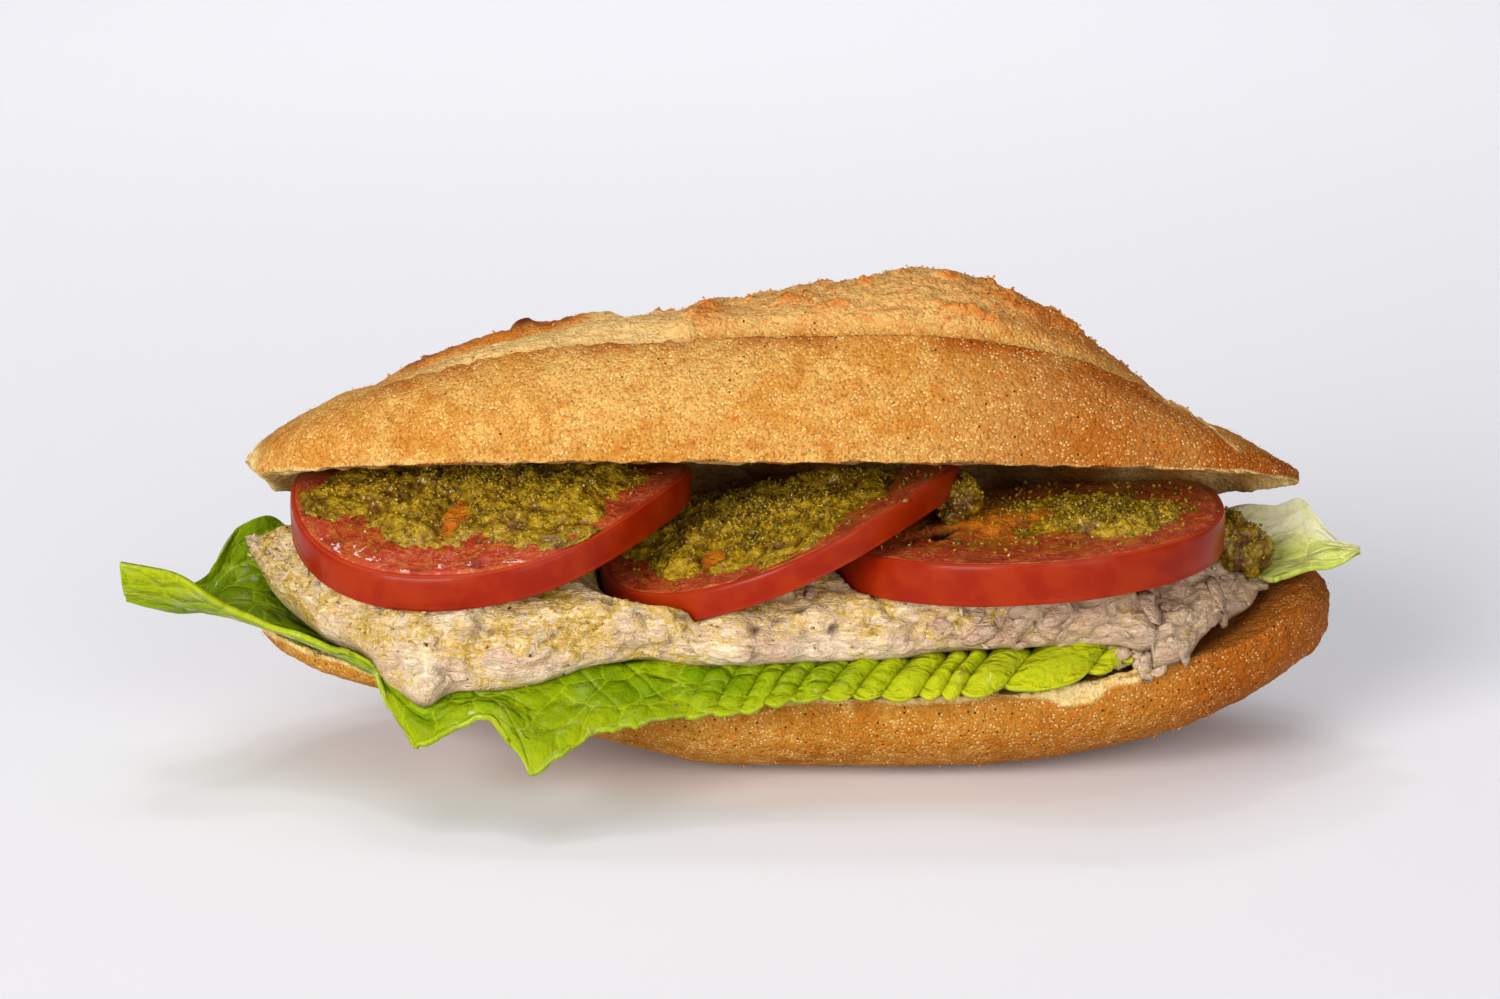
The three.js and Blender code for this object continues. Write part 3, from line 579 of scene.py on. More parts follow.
def baseDepth(p, n):
    onCut = valueOf(breadBase, "crumb")
    holes, pick = cells(p, (3.2, 3.2, 3.2), 4)
    crumb = 0.45 * clouds(p, 3, 9, 3) - 1.1 * clamp(1 - holes / 0.45) * pick
    still = (p[:, 2] < 0.4).astype(float)
    return mix(crustDepth(p, n), crumb, onCut) * (1 - still)


roughen(breadBase, baseDepth)
print("lower half made")

# Upper half of the loaf
lid = {
    "name": "breadLid",
    "around": 328,
    "along": 300,
    "material": lidCrust,
    "replaces": ["bread_lid"],
    "slot": "crust",
    "left": -102.4,
    "right": 97.6,
    "halfWidth": 36.0,
    "tilt": math.radians(20),
    "place": (0.0, -2.2, 51.7),
    "crown": through(
        [-102.4, 4.4], [-100, 7], [-92, 12.2], [-73, 21], [-54, 27.4], [-43, 29.8], [-32, 32.4], [-22, 33.4],
        [-15, 33], [-8, 33.4], [4, 35.8], [12, 36.8], [24, 39], [32, 38], [38, 36.4], [48, 32.2], [62, 22],
        [72, 15.4], [79, 11.6], [87, 7.8], [94, 3.8], [97.6, 2],
    ),
    "nose": through([-102.4, 4], [-98, 0]),
    "ridge": through(
        [-80, 13], [-73, 15.6], [-50, 20.6], [-16, 22.6], [22, 23.4], [48, 21], [60, 18], [70, 14], [77, 10.5], [84, 4]
    ),
    "scabs": [
        (7.5, -9, 2.4, 2.4),
        (1.5, -20, 3.6, 2.4),
        (8, -24, 3.4, 1.3),
        (-6.7, -16, 1.5, 1.2),
        (15, -17, 2, 1.1),
        (21.5, -14, 1.3, 1),
        (31, -16, 2.4, 1.3),
        (38, -10, 2.2, 2.0),
        (33, -25, 6.5, 1.1),
        (43, -18, 7, 3),
        (52, -14, 4, 3),
        (-17, -2, 2, 3),
        (-15, -20, 4, 5),
        (-22, -15, 3, 2),
    ],
    "pocket": 9.0,
    "crustShare": 30 / 41,
    "wallShare": 8 / 41,
}


def lidHalfWidth(x):
    t = np.clip(2 * (x - lid["left"]) / (lid["right"] - lid["left"]) - 1, -1, 1)
    return lid["halfWidth"] * np.sqrt(np.maximum(0, 1 - np.abs(t) ** np.where(t < 0, 3.2, 2.0)))


def ridgeLine(x):
    # the lip of the slashes, jagged where the crust tore
    torn = ease((x + 84) / 10) * ease((14 - x) / 20)
    return lid["ridge"](x) + torn * (0.4 * np.sin(1.1 * x) + 0.3 * np.sin(2.3 * x + 1)) * clamp(0.5 + lumps(x, 0, 0, 23))


def slashes(x, a, b):
    # how far each feature of the two slashes holds at a place of the crust
    above = b - ridgeLine(x)
    return {
        "above": above,
        "slashed": ease((x + 84) / 10) * ease((86 - x) / 8),
        "left": ease((x + 82) / 14) * ease((-14 - x) / 10),
        "right": ease((x + 15 - 0.35 * a) / 5) * ease((84 - x) / 16) * ease((above - 1) / 3),
        "valley": np.exp(-(((a + 8) / 9) ** 2)),
        "ear": np.exp(-(((a - 3) / 3.6) ** 2)) * ease((-28 - x) / 8),
    }


def crustRelief(x, a, b):
    s = slashes(x, a, b)
    front = ease((12 - a) / 8)
    lip = np.where(s["above"] < 0, 0.9 * np.exp(np.minimum(s["above"], 0) / 7), -0.8 * np.exp(-np.maximum(s["above"], 0) / 12))
    left = s["left"] * ease(s["above"] / 3) * (2.6 * s["ear"] - 2.4 * s["valley"])
    return s["slashed"] * (front * lip + 1.6 * s["right"]) + left


def lidPlace(turn, run):
    share = 0.5 * run + 0.5 * (0.5 - 0.5 * np.cos(math.pi * run))
    x = mix(lid["left"], lid["right"], share)
    w, h, nose = lidHalfWidth(x), lid["crown"](x), lid["nose"](x)
    onCut = turn > lid["crustShare"] + 1e-6
    back = (1 - turn) / (1 - lid["crustShare"])
    aCut = w * np.cos(math.pi * (1 - back))
    hollow = np.maximum(0, 1 - (np.abs(aCut) / np.maximum(w - 3, 1)) ** 4) * np.maximum(0, 1 - np.abs(x / 97) ** 6)
    ridgeShare = clamp(ridgeLine(x) / np.maximum(h, 1)) * 0.97
    ridgeAngle = np.arcsin(np.minimum(ridgeShare ** (1 / 0.84), 0.96))
    wall = turn <= lid["wallShare"]
    top = (turn - lid["wallShare"]) / (lid["crustShare"] - lid["wallShare"])
    angle = np.where(wall, mix(0, ridgeAngle, turn / lid["wallShare"]), mix(ridgeAngle, math.pi, clamp(top)))
    a = -w * np.sign(np.cos(angle)) * np.abs(np.cos(angle)) ** 0.84
    b = h * np.maximum(0, np.sin(angle)) ** 0.84
    core = 0.25 * h
    reach = np.maximum(np.hypot(a, b - core), 0.1)
    relief = crustRelief(x, a, b)
    out = (ease(b / 6) * (relief + 0.22 * lumps(x, a, b, 38, 2)) + 1.2 * np.sin(math.pi * clamp(b / np.maximum(0.75 * h, 0.1)))) * clamp(w / 20)
    s = slashes(x, a, b)
    aOut, bOut = a + out * a / reach, np.maximum(nose, b + out * (b - core) / reach)
    pole = w < 1e-6
    aOut = np.where(onCut, aCut, np.where(pole, 0, aOut))
    bOut = np.where(onCut, lid["pocket"] * hollow + nose, np.where(pole, nose, bOut))
    c, d = math.cos(lid["tilt"]), math.sin(lid["tilt"])
    px, py, pz = lid["place"]
    spotsOut = np.stack([x + px, py + aOut * c + bOut * d, pz - aOut * d + bOut * c], 1)
    slashed = s["slashed"] * ease((14 - a) / 8)
    opened = slashed * ease(s["above"] / 0.7)
    ear = s["left"] * ease((a + 2.5) / 3 + 0.3 * lumps(x, 0, 0, 9, 4)) * ease((-34 - x) / 6) * ease((12 - a) / 6)
    paleValley = s["left"] * (1 - ear) * clamp(0.9 - 0.5 * ease((-58 - x) / 14))
    seam = np.exp(-((s["above"] / 0.7) ** 2)) * ease((x - 66) / 5) * ease((86 - x) / 4) * (a < 0)
    rim = np.exp(-((np.minimum(s["above"], 0) / 2.4) ** 2)) * (s["above"] <= 0.05) * ease((72 - x) / 6)
    rim = rim * clamp(0.6 + 0.7 * lumps(x, 0, 0, 13, 3))
    scab = clamp(sum(patchAt(x, a, patch) for patch in lid["scabs"]))
    bubble = np.exp(-((x + 49.6) ** 2 + (a - 4) ** 2) / 5)
    flap = np.exp(-((x + 17) ** 2 / 4 + (a - 2) ** 2 / 3))
    ends = 0.8 * ease((x - 74) / 18) + 0.45 * ease((-88 - x) / 10) * ease((b - 3) / 6)
    toast = 0.9 * slashed * rim + 0.3 * ear + ends + 0.8 * s["right"] * ease((x - 28) / 24) + 0.72 * ease((x - 10) / 50) * (s["above"] < 0)
    scorch = 0.6 * ear * np.exp(-(((a - 2) / 1.0) ** 2)) * clamp(0.4 + lumps(x, 0, 0, 9)) + bubble + 0.8 * flap
    edge = 0.7 * clamp((0.5 + 0.6 * lumps(x, 0, 0, 8, 6) - b) / 0.4) * (a < 0) * ease((np.abs(x + 2) - 62) / 8)
    # oil soaking into the underside, which also darkens it as painted shade under the lid
    soakedAndShaded = ease((x + 88) / 8) * ease((94 - x) / 8) * clamp(0.75 + 0.4 * lumps(x, a, 0, 14, 9))
    edge = np.maximum(edge, ease((9 - b) / 1.5) * ease((-98 - x) / 2))
    return spotsOut, {
        "crumb": np.where(onCut, 1.0, clamp(edge)),
        "burst": np.where(onCut, 0, clamp(opened * (paleValley + 0.6 * s["right"] * (1 - 0.85 * ease((x - 26) / 24))) + seam)),
        "toast": np.where(onCut, 0, clamp(toast)),
        "toastSpots": np.where(onCut, 0, clamp(0.25 + 0.75 * s["right"])),
        "scab": np.where(onCut, 0, clamp(scab * clamp(0.8 + 0.6 * lumps(x, a, b, 3, 8)) + 0.55 * ear)),
        "scorch": np.where(onCut, 0, clamp(scorch)),
        "oily": np.where(onCut, 0.95 * soakedAndShaded, 0),
        "bubble": np.where(onCut, 0, bubble + 0.5 * flap),
    }


breadLid = ballPiece(lid, lidPlace)


def lidDepth(p, n):
    onCut, burst, bubble, scab = (valueOf(breadLid, k) for k in ("crumb", "burst", "bubble", "scab"))
    holes, pick = cells(p, (3.4, 3.4, 3.4), 4)
    crumb = 0.4 * clouds(p, 3, 9, 3) - 1.0 * clamp(1 - holes / 0.42) * pick
    torn = 0.9 * (1 - np.abs(clouds(p, (5, 2.6, 2.6), 21, 3))) - 0.55
    rough = valueOf(breadLid, "toastSpots") - 0.3
    crust = crustDepth(p, n) + burst * torn + 0.6 * rough * clouds(p, 2.4, 23, 3) + 1.8 * bubble
    crust = crust + scab * (1.0 + 0.9 * clouds(p, 1.6, 24, 2))
    return mix(crust, crumb, onCut)


roughen(breadLid, lidDepth)
print("upper half made")

# Tomato slices
slices = {
    "left": {"node": "tomato_left", "x": -55.9, "y": -11, "rx": 37.6, "ry": 35.5, "z": 55.6, "thickness": 6.4, "rise": 0.05, "pitch": 0.03, "sag": 0.02, "droop": 0.3, "twist": -0.12, "fold": 0.18, "seed": 1, "square": 2},
    "middle": {"node": "tomato_middle", "x": -1.5, "y": -11, "rx": 33.6, "ry": 35, "z": 48.6, "thickness": 5.6, "rise": 0.255, "pitch": 0.03, "sag": -0.04, "droop": 0.03, "twist": -0.21, "fold": 0.24, "seed": 2, "square": 2},
    "right": {"node": "tomato_right", "x": 44.8, "y": -13, "rx": 37, "ry": 35.2, "z": 49.8, "thickness": 7.8, "rise": 0.065, "pitch": 0.03, "sag": 0.03, "droop": 0.02, "twist": 0, "fold": 0.3, "seed": 3, "square": 2.3},
}
gap = 0.35
slices["middle"]["over"] = slices["left"]
slices["right"]["over"] = slices["middle"]
slices["left"]["gels"] = [(-5, -17, 2.4, 6)]
slices["middle"]["gels"] = [(-12, -17, 3.4, 5)]
slices["right"]["gels"] = [(-9, -5, 7, 9), (2, -7, 3.5, 4)]
slices["right"]["hole"] = (-17, -12.5, 3.2, 3.4)


def sliceTop(s, u, v):
    return s["z"] + s["rise"] * u + s["pitch"] * v - (s["sag"] * u * u + s["droop"] * v * v - s["twist"] * u * v + s["fold"] * np.maximum(0, v - 6) ** 2) / 40


def sliceReach(s, angle):
    lobed = 1 + 0.012 * np.sin(5 * angle + s["seed"]) + 0.008 * np.sin(3 * angle + 2 * s["seed"])
    squared = np.abs(np.cos(angle)) ** s["square"] + np.abs(np.sin(angle)) ** s["square"]
    return lobed * squared ** (-1 / s["square"])


def insideSlice(s, x, y, grow=0.0):
    u, v = x - s["x"], y - s["y"]
    angle = np.arctan2(v / s["ry"], u / s["rx"])
    reach = sliceReach(s, angle)
    return np.hypot(u / ((s["rx"] + grow) * reach), v / ((s["ry"] + grow) * reach)) < 1


def pressUnder(s, p, grow=0.6):
    # keeps points below a slice that lies over them
    u, v = p[:, 0] - s["x"], p[:, 1] - s["y"]
    under = sliceTop(s, u, v) - s["thickness"] - gap
    p[:, 2] = np.where(insideSlice(s, p[:, 0], p[:, 1], grow), np.minimum(p[:, 2], under), p[:, 2])
    return p


def clearInFront(s, p, lean=3.0):
    # lowers what would hide a slice from the front
    u, v = p[:, 0] - s["x"], p[:, 1] - s["y"]
    angle = np.arctan2(v / s["ry"], u / s["rx"])
    ru, rv = s["rx"] * sliceReach(s, angle) * np.cos(angle), s["ry"] * sliceReach(s, angle) * np.sin(angle)
    away = np.hypot(u, v) - np.hypot(ru, rv)
    front = clamp(-np.sin(angle))
    roof = sliceTop(s, ru, rv) - mix(0.75, 0.5, ease(away / 2.5)) * s["thickness"] + away / (lean * np.maximum(front, 0.05))
    p[:, 2] = np.where((away > 0) & (front > 0.05), np.minimum(p[:, 2], roof), p[:, 2])
    return p


sliceProfile = [(r, 0.0) for r in np.linspace(0, 0.978, 48)]
sliceProfile += [(0.986 + 0.012 * math.sin(t), 0.035 - 0.035 * math.cos(t)) for t in np.linspace(0.4, math.pi / 2, 4)]
sliceProfile += [(1.0 + 0.006 * math.sin(math.pi * d) - 0.008 * d, d) for d in np.linspace(0.1, 0.9, 12)]
sliceProfile += [(0.974 + 0.026 * math.cos(t), 0.93 + 0.07 * math.sin(t)) for t in np.linspace(0.3, math.pi / 2, 4)]
sliceProfile += [(r, 1.0) for r in np.linspace(0.94, 0, 9)]
sliceProfile = np.array(sliceProfile)


def tomatoPiece(key):
    s = slices[key]
    rings = len(sliceProfile) - 1

    def place(turn, run):
        share, down = sliceProfile[np.round(run * rings).astype(int)].T
        angle = tau * turn
        reach = share * sliceReach(s, angle)
        u, v = s["rx"] * reach * np.cos(angle), s["ry"] * reach * np.sin(angle)
        onTop = down == 0
        chamber = np.sin(2.5 * angle + s["seed"]) ** 2 * np.sin(math.pi * clamp((share - 0.2) / 0.6)) ** 2
        flat = np.stack([u, v, 0 * u], 1)
        drift = 2.2 * cloud(flat, 3.2, 35)
        speckle = clamp(0.75 + 0.5 * clouds(flat, 1.6, 36, 2))
        gel = sum(patchAt(u + drift, v - drift, g) for g in s["gels"]) * onTop * speckle
        hole = patchAt(u + drift, v + drift, s["hole"]) * onTop if "hole" in s else 0 * u
        z = sliceTop(s, u, v) - down * s["thickness"] + onTop * (0.5 * gel - 1.1 * chamber - 3.4 * hole)
        spotsOut = np.stack([s["x"] + u, s["y"] + v, z], 1)
        if "over" in s:
            spotsOut = pressUnder(s["over"], spotsOut)
        return spotsOut, {
            "reach": np.where(down > 0.02, np.maximum(share, 1.01), share),
            "turn": turn,
            "gel": clamp(1.1 * gel + 0.3 * ease((chamber - 0.35) / 0.4) * onTop),
            # the hole mark also sets the painted shade inside the cavity
            "hole": ease((hole - 0.2) / 0.3),
        }

    made = ballPiece(
        {
            "name": s["node"].replace("_", ""),
            "around": 300,
            "along": rings,
            "material": tomatoFlesh,
            "replaces": [s["node"]],
            "slot": "tomato",
        },
        place,
    )

    def depth(p, n):
        reach = valueOf(made, "reach")
        return np.where(reach < 0.97, 0.22 * clouds(p, 2.2, 31, 3), 0.12 * cloud(p, 9, 33))

    roughen(made, depth)
    return made


tomatoes = {key: tomatoPiece(key) for key in slices}
print("tomato slices made")

# The long leaf
leaf = {
    "left": -123.5,
    "right": 64.0,
    "thickness": 1.0,
    "backY": through([-123.5, -14], [-115, -10], [-109, -2], [-106, 8], [-96, 16], [-80, 27], [-40, 34], [40, 34], [60, 28], [71, 20]),
    "backZ": through([-123.5, 37], [-115, 33], [-110, 34], [-106, 39.6], [-96, 40.8], [-88, 36], [-78, 28.5], [-60, 26.5], [40, 26.5], [71, 29]),
    "crestY": through([-123.5, -19], [-108, -17], [-100, -18], [-92, -22], [-84, -28], [-76, -37], [-66, -41], [-46, -41], [-20, -39], [10, -38], [36, -36], [56, -31], [71, -23]),
    "crestZ": through([-123.5, 34.4], [-108, 30.6], [-100, 29], [-92, 27.4], [-84, 26], [-76, 24.4], [-66, 23.4], [-46, 24.6], [-34, 26.6], [-10, 26], [36, 26.6], [56, 27.6], [71, 29]),
    "edgeY": through([-123.5, -23.6], [-110, -26], [-99, -27], [-92.6, -30], [-84, -34], [-76, -40], [-72, -44], [-66, -53], [-61.5, -53], [-52, -55], [-46, -61], [-40.5, -60], [-34, -55], [-23, -51], [-8, -48], [12, -44], [36, -42], [56, -37], [71, -26]),
    "edgeZ": through([-123.5, 41.2], [-115, 40], [-110, 38.4], [-104, 34.2], [-99, 31.8], [-92, 30], [-84, 28.2], [-76, 26.4], [-72.5, 20.8], [-66, 15.6], [-61.5, 18], [-56, 19.9], [-51.6, 18.8], [-46, 13.4], [-40.5, 14.4], [-34, 18.4], [-23, 19.4], [-8, 20], [-2, 21.6], [12, 21.8], [36, 22.8], [50, 23.8], [61, 25.4], [71, 27.6]),
    "crestShare": 0.62,
    "creases": through(
        [-24, -3], [-18.5, -2], [-13.5, -1], [-8.5, 0], [-4, 1], [0.5, 2], [6.3, 3], [11.8, 4], [17.2, 5],
        [23.9, 6], [28, 7], [31.5, 8], [39.7, 9], [55.4, 10], [61.7, 11], [68, 12],
    ),
    "slant": 14.0,
    "ribs": [
        (-66, 34, -47, 60, 0.6),
        (-60, 42, -62, 54, 0.35),
        (-56, 47, -46, 47, 0.35),
        (-52, 53, -53, 60, 0.3),
        (-61, 41, -45, 39, 0.35),
        (-110, 34, -84, 22, 0.5),
        (-99, 29, -97, 44, 0.35),
        (-123, 42, -84, 41, 0.5),
        (-38, 40, -30, 58, 0.3),
        (-30, 38, -22, 56, 0.3),
    ],
}


def leafPoint(x, share):
    t = (share - leaf["crestShare"]) / (1 - leaf["crestShare"])
    beyond = share > leaf["crestShare"]
    t = np.where(beyond, t, 0)
    bow = mix(t * t, 1 - np.maximum(1 - t, 0) ** 1.5, 0.5 * ease((x + 84) / 12))
    yOut = mix(leaf["crestY"](x), leaf["edgeY"](x), t)
    zOut = mix(leaf["crestZ"](x), leaf["edgeZ"](x), bow)
    t = clamp(share / leaf["crestShare"])
    yIn = mix(leaf["backY"](x), leaf["crestY"](x), t)
    free = mix(leaf["backZ"](x), leaf["crestZ"](x), t) - 3 * np.sin(math.pi * t)
    cut = cutHeight(x, yIn)
    resting = np.maximum(cut + 1.2, mix(cut, leaf["crestZ"](x), ease((t - 0.6) / 0.4)))
    zIn = mix(free, resting, ease((x + 101) / 14))
    return np.stack([x, np.where(beyond, yOut, yIn), np.where(beyond, zOut, zIn)], 1)


def pleats(x, share):
    # where the leaf is puffed up between slanting creases, and the puffs' own rise from 0 in a crease to 1
    along = ease((x + 26) / 14) * ease((67 - x) / 4) * (0.5 + 0.5 * ease((x + 6) / 30))
    front = ease((share - 0.48) / 0.12)
    count = leaf["creases"](x - leaf["slant"] * (1 - share))
    index = np.floor(count).astype(int)
    swell = 0.7 + 0.55 * hashed(index, 0 * index, 0 * index, 9)
    return along * front, np.abs(np.sin(math.pi * count)) ** 0.75 * swell


def nearRibs(x, arc, ribs):
    # how close a place of the leaf lies to one of its ribs
    close = 0 * x
    for x1, y1, x2, y2, width in ribs:
        dx, dy = x2 - x1, y2 - y1
        t = np.clip(((x - x1) * dx + (arc - y1) * dy) / (dx * dx + dy * dy), 0, 1)
        away = np.hypot(x - x1 - t * dx, arc - y1 - t * dy)
        close = np.maximum(close, np.exp(-((away / (width * (1.15 - 0.6 * t))) ** 2)))
    return close


def sheetPiece(piece, place, thickness):
    mesh, across, along = gridMesh(piece["name"], piece["across"], piece["along"])
    spotsOut, marks = place(across, along)
    setPoints(mesh, spotsOut)
    mark(mesh, **marks)
    made = newPiece(piece["name"], mesh, piece["material"], piece["replaces"])
    solid = made.modifiers.new("leafThickness", "SOLIDIFY")
    solid.thickness = thickness * mm
    solid.offset = 0
    return made


def leafPlace(u, v):
    x = mix(leaf["left"], leaf["right"], v)
    share = mix(u, ease(u), 0.3)
    p = leafPoint(x, share)
    strength, wave = pleats(x, share)
    puff = strength * (2.6 * wave - 0.9)
    edge = ease((share - 0.84) / 0.16)
    p[:, 1] -= 0.75 * puff
    p[:, 2] += (0.75 - 0.6 * edge) * puff - 1.2 * strength * edge * wave
    arc = share * 62  # rough width of the leaf
    flat = np.stack([x, arc, 0 * x], 1)
    wander = 1.5 * np.stack([cloud(flat, 6, 1), cloud(flat, 6, 2), 0 * x], 1)
    net, _ = cells(flat + wander, (8, 6, 50), 12)
    close = nearRibs(x, arc, leaf["ribs"])
    calm = 1 - 0.6 * ease((-70 - x) / 14)
    crinkle = (1 - 0.9 * strength) * calm * (0.5 * clouds(flat, (10, 7, 20), 14, 2) + 1.5 * (1 - net**2) - 0.6 * close)
    frill = edge * (1 - strength) * calm * 0.9 * clouds(flat, (6, 30, 30), 15, 2)
    # small teeth along the torn edge, and two points that hang lowest
    teeth = ease((share - 0.9) / 0.1) * (1 - strength) * 0.4 * ease((x + 88) / 10) * clouds(flat, (3.4, 60, 60), 16, 3, 0.7)
    teeth = teeth - 1.8 * ease((share - 0.93) / 0.07) * (np.exp(-np.abs(x + 67) / 1.1) + np.exp(-np.abs(x + 46) / 1.3))
    p[:, 2] += crinkle * 0.8 + 0.5 * frill + teeth
    p[:, 1] -= crinkle * 0.5 - frill - 0.5 * teeth
    outerStrip = (x < -84) * ease((share - 0.68) / 0.1)
    young = 0.65 * strength * ease((x + 20) / 60) + 0.12 + 0.3 * edge + 0.2 * outerStrip
    return p, {
        "young": clamp(young),
        # marks the painted shade in the creases between pleats
        "creaseShade": clamp(strength * clamp(1 - wave / 0.36) * 0.8),
        "rib": clamp(0.6 * close + 0.2 * ease((share - 0.986) / 0.01)),
        "stripes": 0.2 * ease((-72 - x) / 10),
        "leafX": x,
        "leafY": arc,
    }


lettuceLeaf = sheetPiece({"name": "lettuceLeaf", "across": 98, "along": 480, "material": leafGreen, "replaces": ["lettuce_leaf"], "slot": "lettuce"}, leafPlace, leaf["thickness"])

paleLeaf = {
    "left": through([0, 92], [1, 80]),
    "right": 109.0,
    "frontY": through([73, -13], [80, -19], [87, -16.5], [93, -13.5], [99, -10], [105, -7.5], [109, -6]),
    "frontZ": through([73, 32], [80, 32], [87, 34], [93, 35.6], [99, 36.8], [105, 37], [109, 39]),
    "foldY": through([73, -2], [87, -3], [97, -3], [105, -4], [109, -5.6]),
    "foldZ": through([73, 31.5], [87, 34.5], [97, 37], [105, 39], [109, 39.6]),
    "backY": through([73, 10], [85, 10], [99, 8], [104, 1], [109, -4.6]),
    "backZ": through([73, 36], [79, 41], [85, 43.4], [93, 44.6], [99.5, 45.4], [104, 41], [109, 39.6]),
}


def palePlace(u, v):
    x = mix(paleLeaf["left"](u), paleLeaf["right"], v)
    behind = u > 0.45
    t = np.where(behind, (u - 0.45) / 0.55, u / 0.45)
    y = np.where(behind, mix(paleLeaf["foldY"](x), paleLeaf["backY"](x), t), mix(paleLeaf["frontY"](x), paleLeaf["foldY"](x), t))
    z = np.where(behind, mix(paleLeaf["foldZ"](x), paleLeaf["backZ"](x), t**1.4), mix(paleLeaf["frontZ"](x), paleLeaf["foldZ"](x), t))
    z = z + 0.5 * np.sin(0.55 * x + 3 * u) * t
    flat = np.stack([x, 30 * u, 0 * x], 1)
    z = z + 0.35 * clouds(flat, (6, 5, 9), 41, 3)
    young = clamp(0.2 + 0.9 * ease((u - 0.55) / 0.3))
    return np.stack([x, y, z], 1), {"young": young, "creaseShade": 0 * x, "stripes": 0 * x, "rib": 0.6 * ease((0.06 - u) / 0.05), "leafX": x, "leafY": 30 * u}


lettucePale = sheetPiece({"name": "lettucePale", "across": 90, "along": 120, "material": leafPale, "replaces": ["lettuce_pale"], "slot": "pale_lettuce"}, palePlace, leaf["thickness"])
print("leaves made")

# Tuna salad
tuna = {
    "name": "tunaSalad",
    "around": 320,
    "along": 310,
    "material": tunaFlesh,
    "replaces": ["tuna_salad"],
    "slot": "tuna",
    "left": -102.0,
    "right": 90.0,
    "footY": through([-102, -8], [-100, -12], [-96, -22], [-90, -28], [-80, -35], [-71, -45], [-65.4, -50], [-61, -48], [-45, -46], [-33, -43.5], [-16, -41], [8, -39.4], [39, -37], [60, -34], [70, -33], [75, -31.5], [80, -27], [85, -23], [88, -19], [90, -10]),
    "footZ": through([-102, 42], [-100, 40], [-96, 36], [-90, 32.4], [-80, 28.8], [-71, 24.6], [-65.4, 22.6], [-61, 24.8], [-52, 24.8], [-45, 26.2], [-34, 29], [-25, 29.6], [-16, 27.8], [8, 28.2], [21, 28.6], [29, 30], [59, 30], [65, 28], [69.5, 22], [74, 26], [78, 29.6], [86, 29], [90, 33]),
    "brow": through([-102, 1], [-96, 7], [-83, 14], [-60, 15], [-40, 13], [-20, 11], [20, 11], [60, 11.5], [80, 9], [90, 2]),
    "top": through([-102, 43], [-96, 46], [-80, 48], [-30, 46], [10, 45], [60, 44], [80, 41], [90, 35]),
    "backY": through([-102, -6], [-94, 8], [-80, 22], [-50, 31], [40, 32], [62, 27], [75, 12], [84, -2], [90, -9]),
    "clear": 0.7,
}


def leafHeight(x, y):
    inside = (leaf["backY"](x) - y) / (leaf["backY"](x) - leaf["crestY"](x))
    beyond = (leaf["crestY"](x) - y) / (leaf["crestY"](x) - leaf["edgeY"](x))
    onto = mix(leaf["crestShare"], 1, np.clip(beyond, 0, 1))
    share = np.where(inside < 1, np.maximum(inside, 0) * leaf["crestShare"], onto)
    return leafPoint(x, share)[:, 2]


def tunaFloor(x, y):
    carried = np.where(x < leaf["right"] + 3, leafHeight(x, y), 0)
    return np.maximum(carried, cutHeight(x, y)) + tuna["clear"]


def tunaLoop(x, steps=16):
    # the section at one place, as a closed loop of points and its running length
    at = np.array([x])
    footY, brow, backY, top = (float(tuna[k](at)[0]) for k in ("footY", "brow", "backY", "top"))

    def floor(y):
        return float(tunaFloor(at, np.array([y]))[0])

    footZ = max(float(tuna["footZ"](at)[0]) - 1.0, floor(footY) + 0.3)
    knots = [
        (footY, footZ),
        (footY - 2.2, footZ + 0.45 * brow),
        (footY + 2.5, footZ + brow),
        (mix(footY, backY, 0.35), mix(footZ + brow, top, 0.8)),
        (mix(footY, backY, 0.62), top),
        (mix(footY, backY, 0.88), top - 4),
        (backY + 1, mix(floor(backY), top - 4, 0.5)),
    ]
    knots += [(mix(footY, backY, s), floor(mix(footY, backY, s))) for s in (0.97, 0.78, 0.55, 0.32, 0.14)]
    p = np.array(knots)
    t = np.linspace(0, 1, steps, endpoint=False)[:, None]
    parts = []
    for i in range(len(p)):
        a, b, c, d = p[i - 1], p[i], p[(i + 1) % len(p)], p[(i + 2) % len(p)]
        parts.append(0.5 * (2 * b + (c - a) * t + (2 * a - 5 * b + 4 * c - d) * t**2 + (3 * b - a - 3 * c + d) * t**3))
    loop = np.concatenate(parts + [p[:1]])
    length = np.concatenate([[0], np.cumsum(np.hypot(*np.diff(loop, axis=0).T))])
    return loop, length / length[-1]


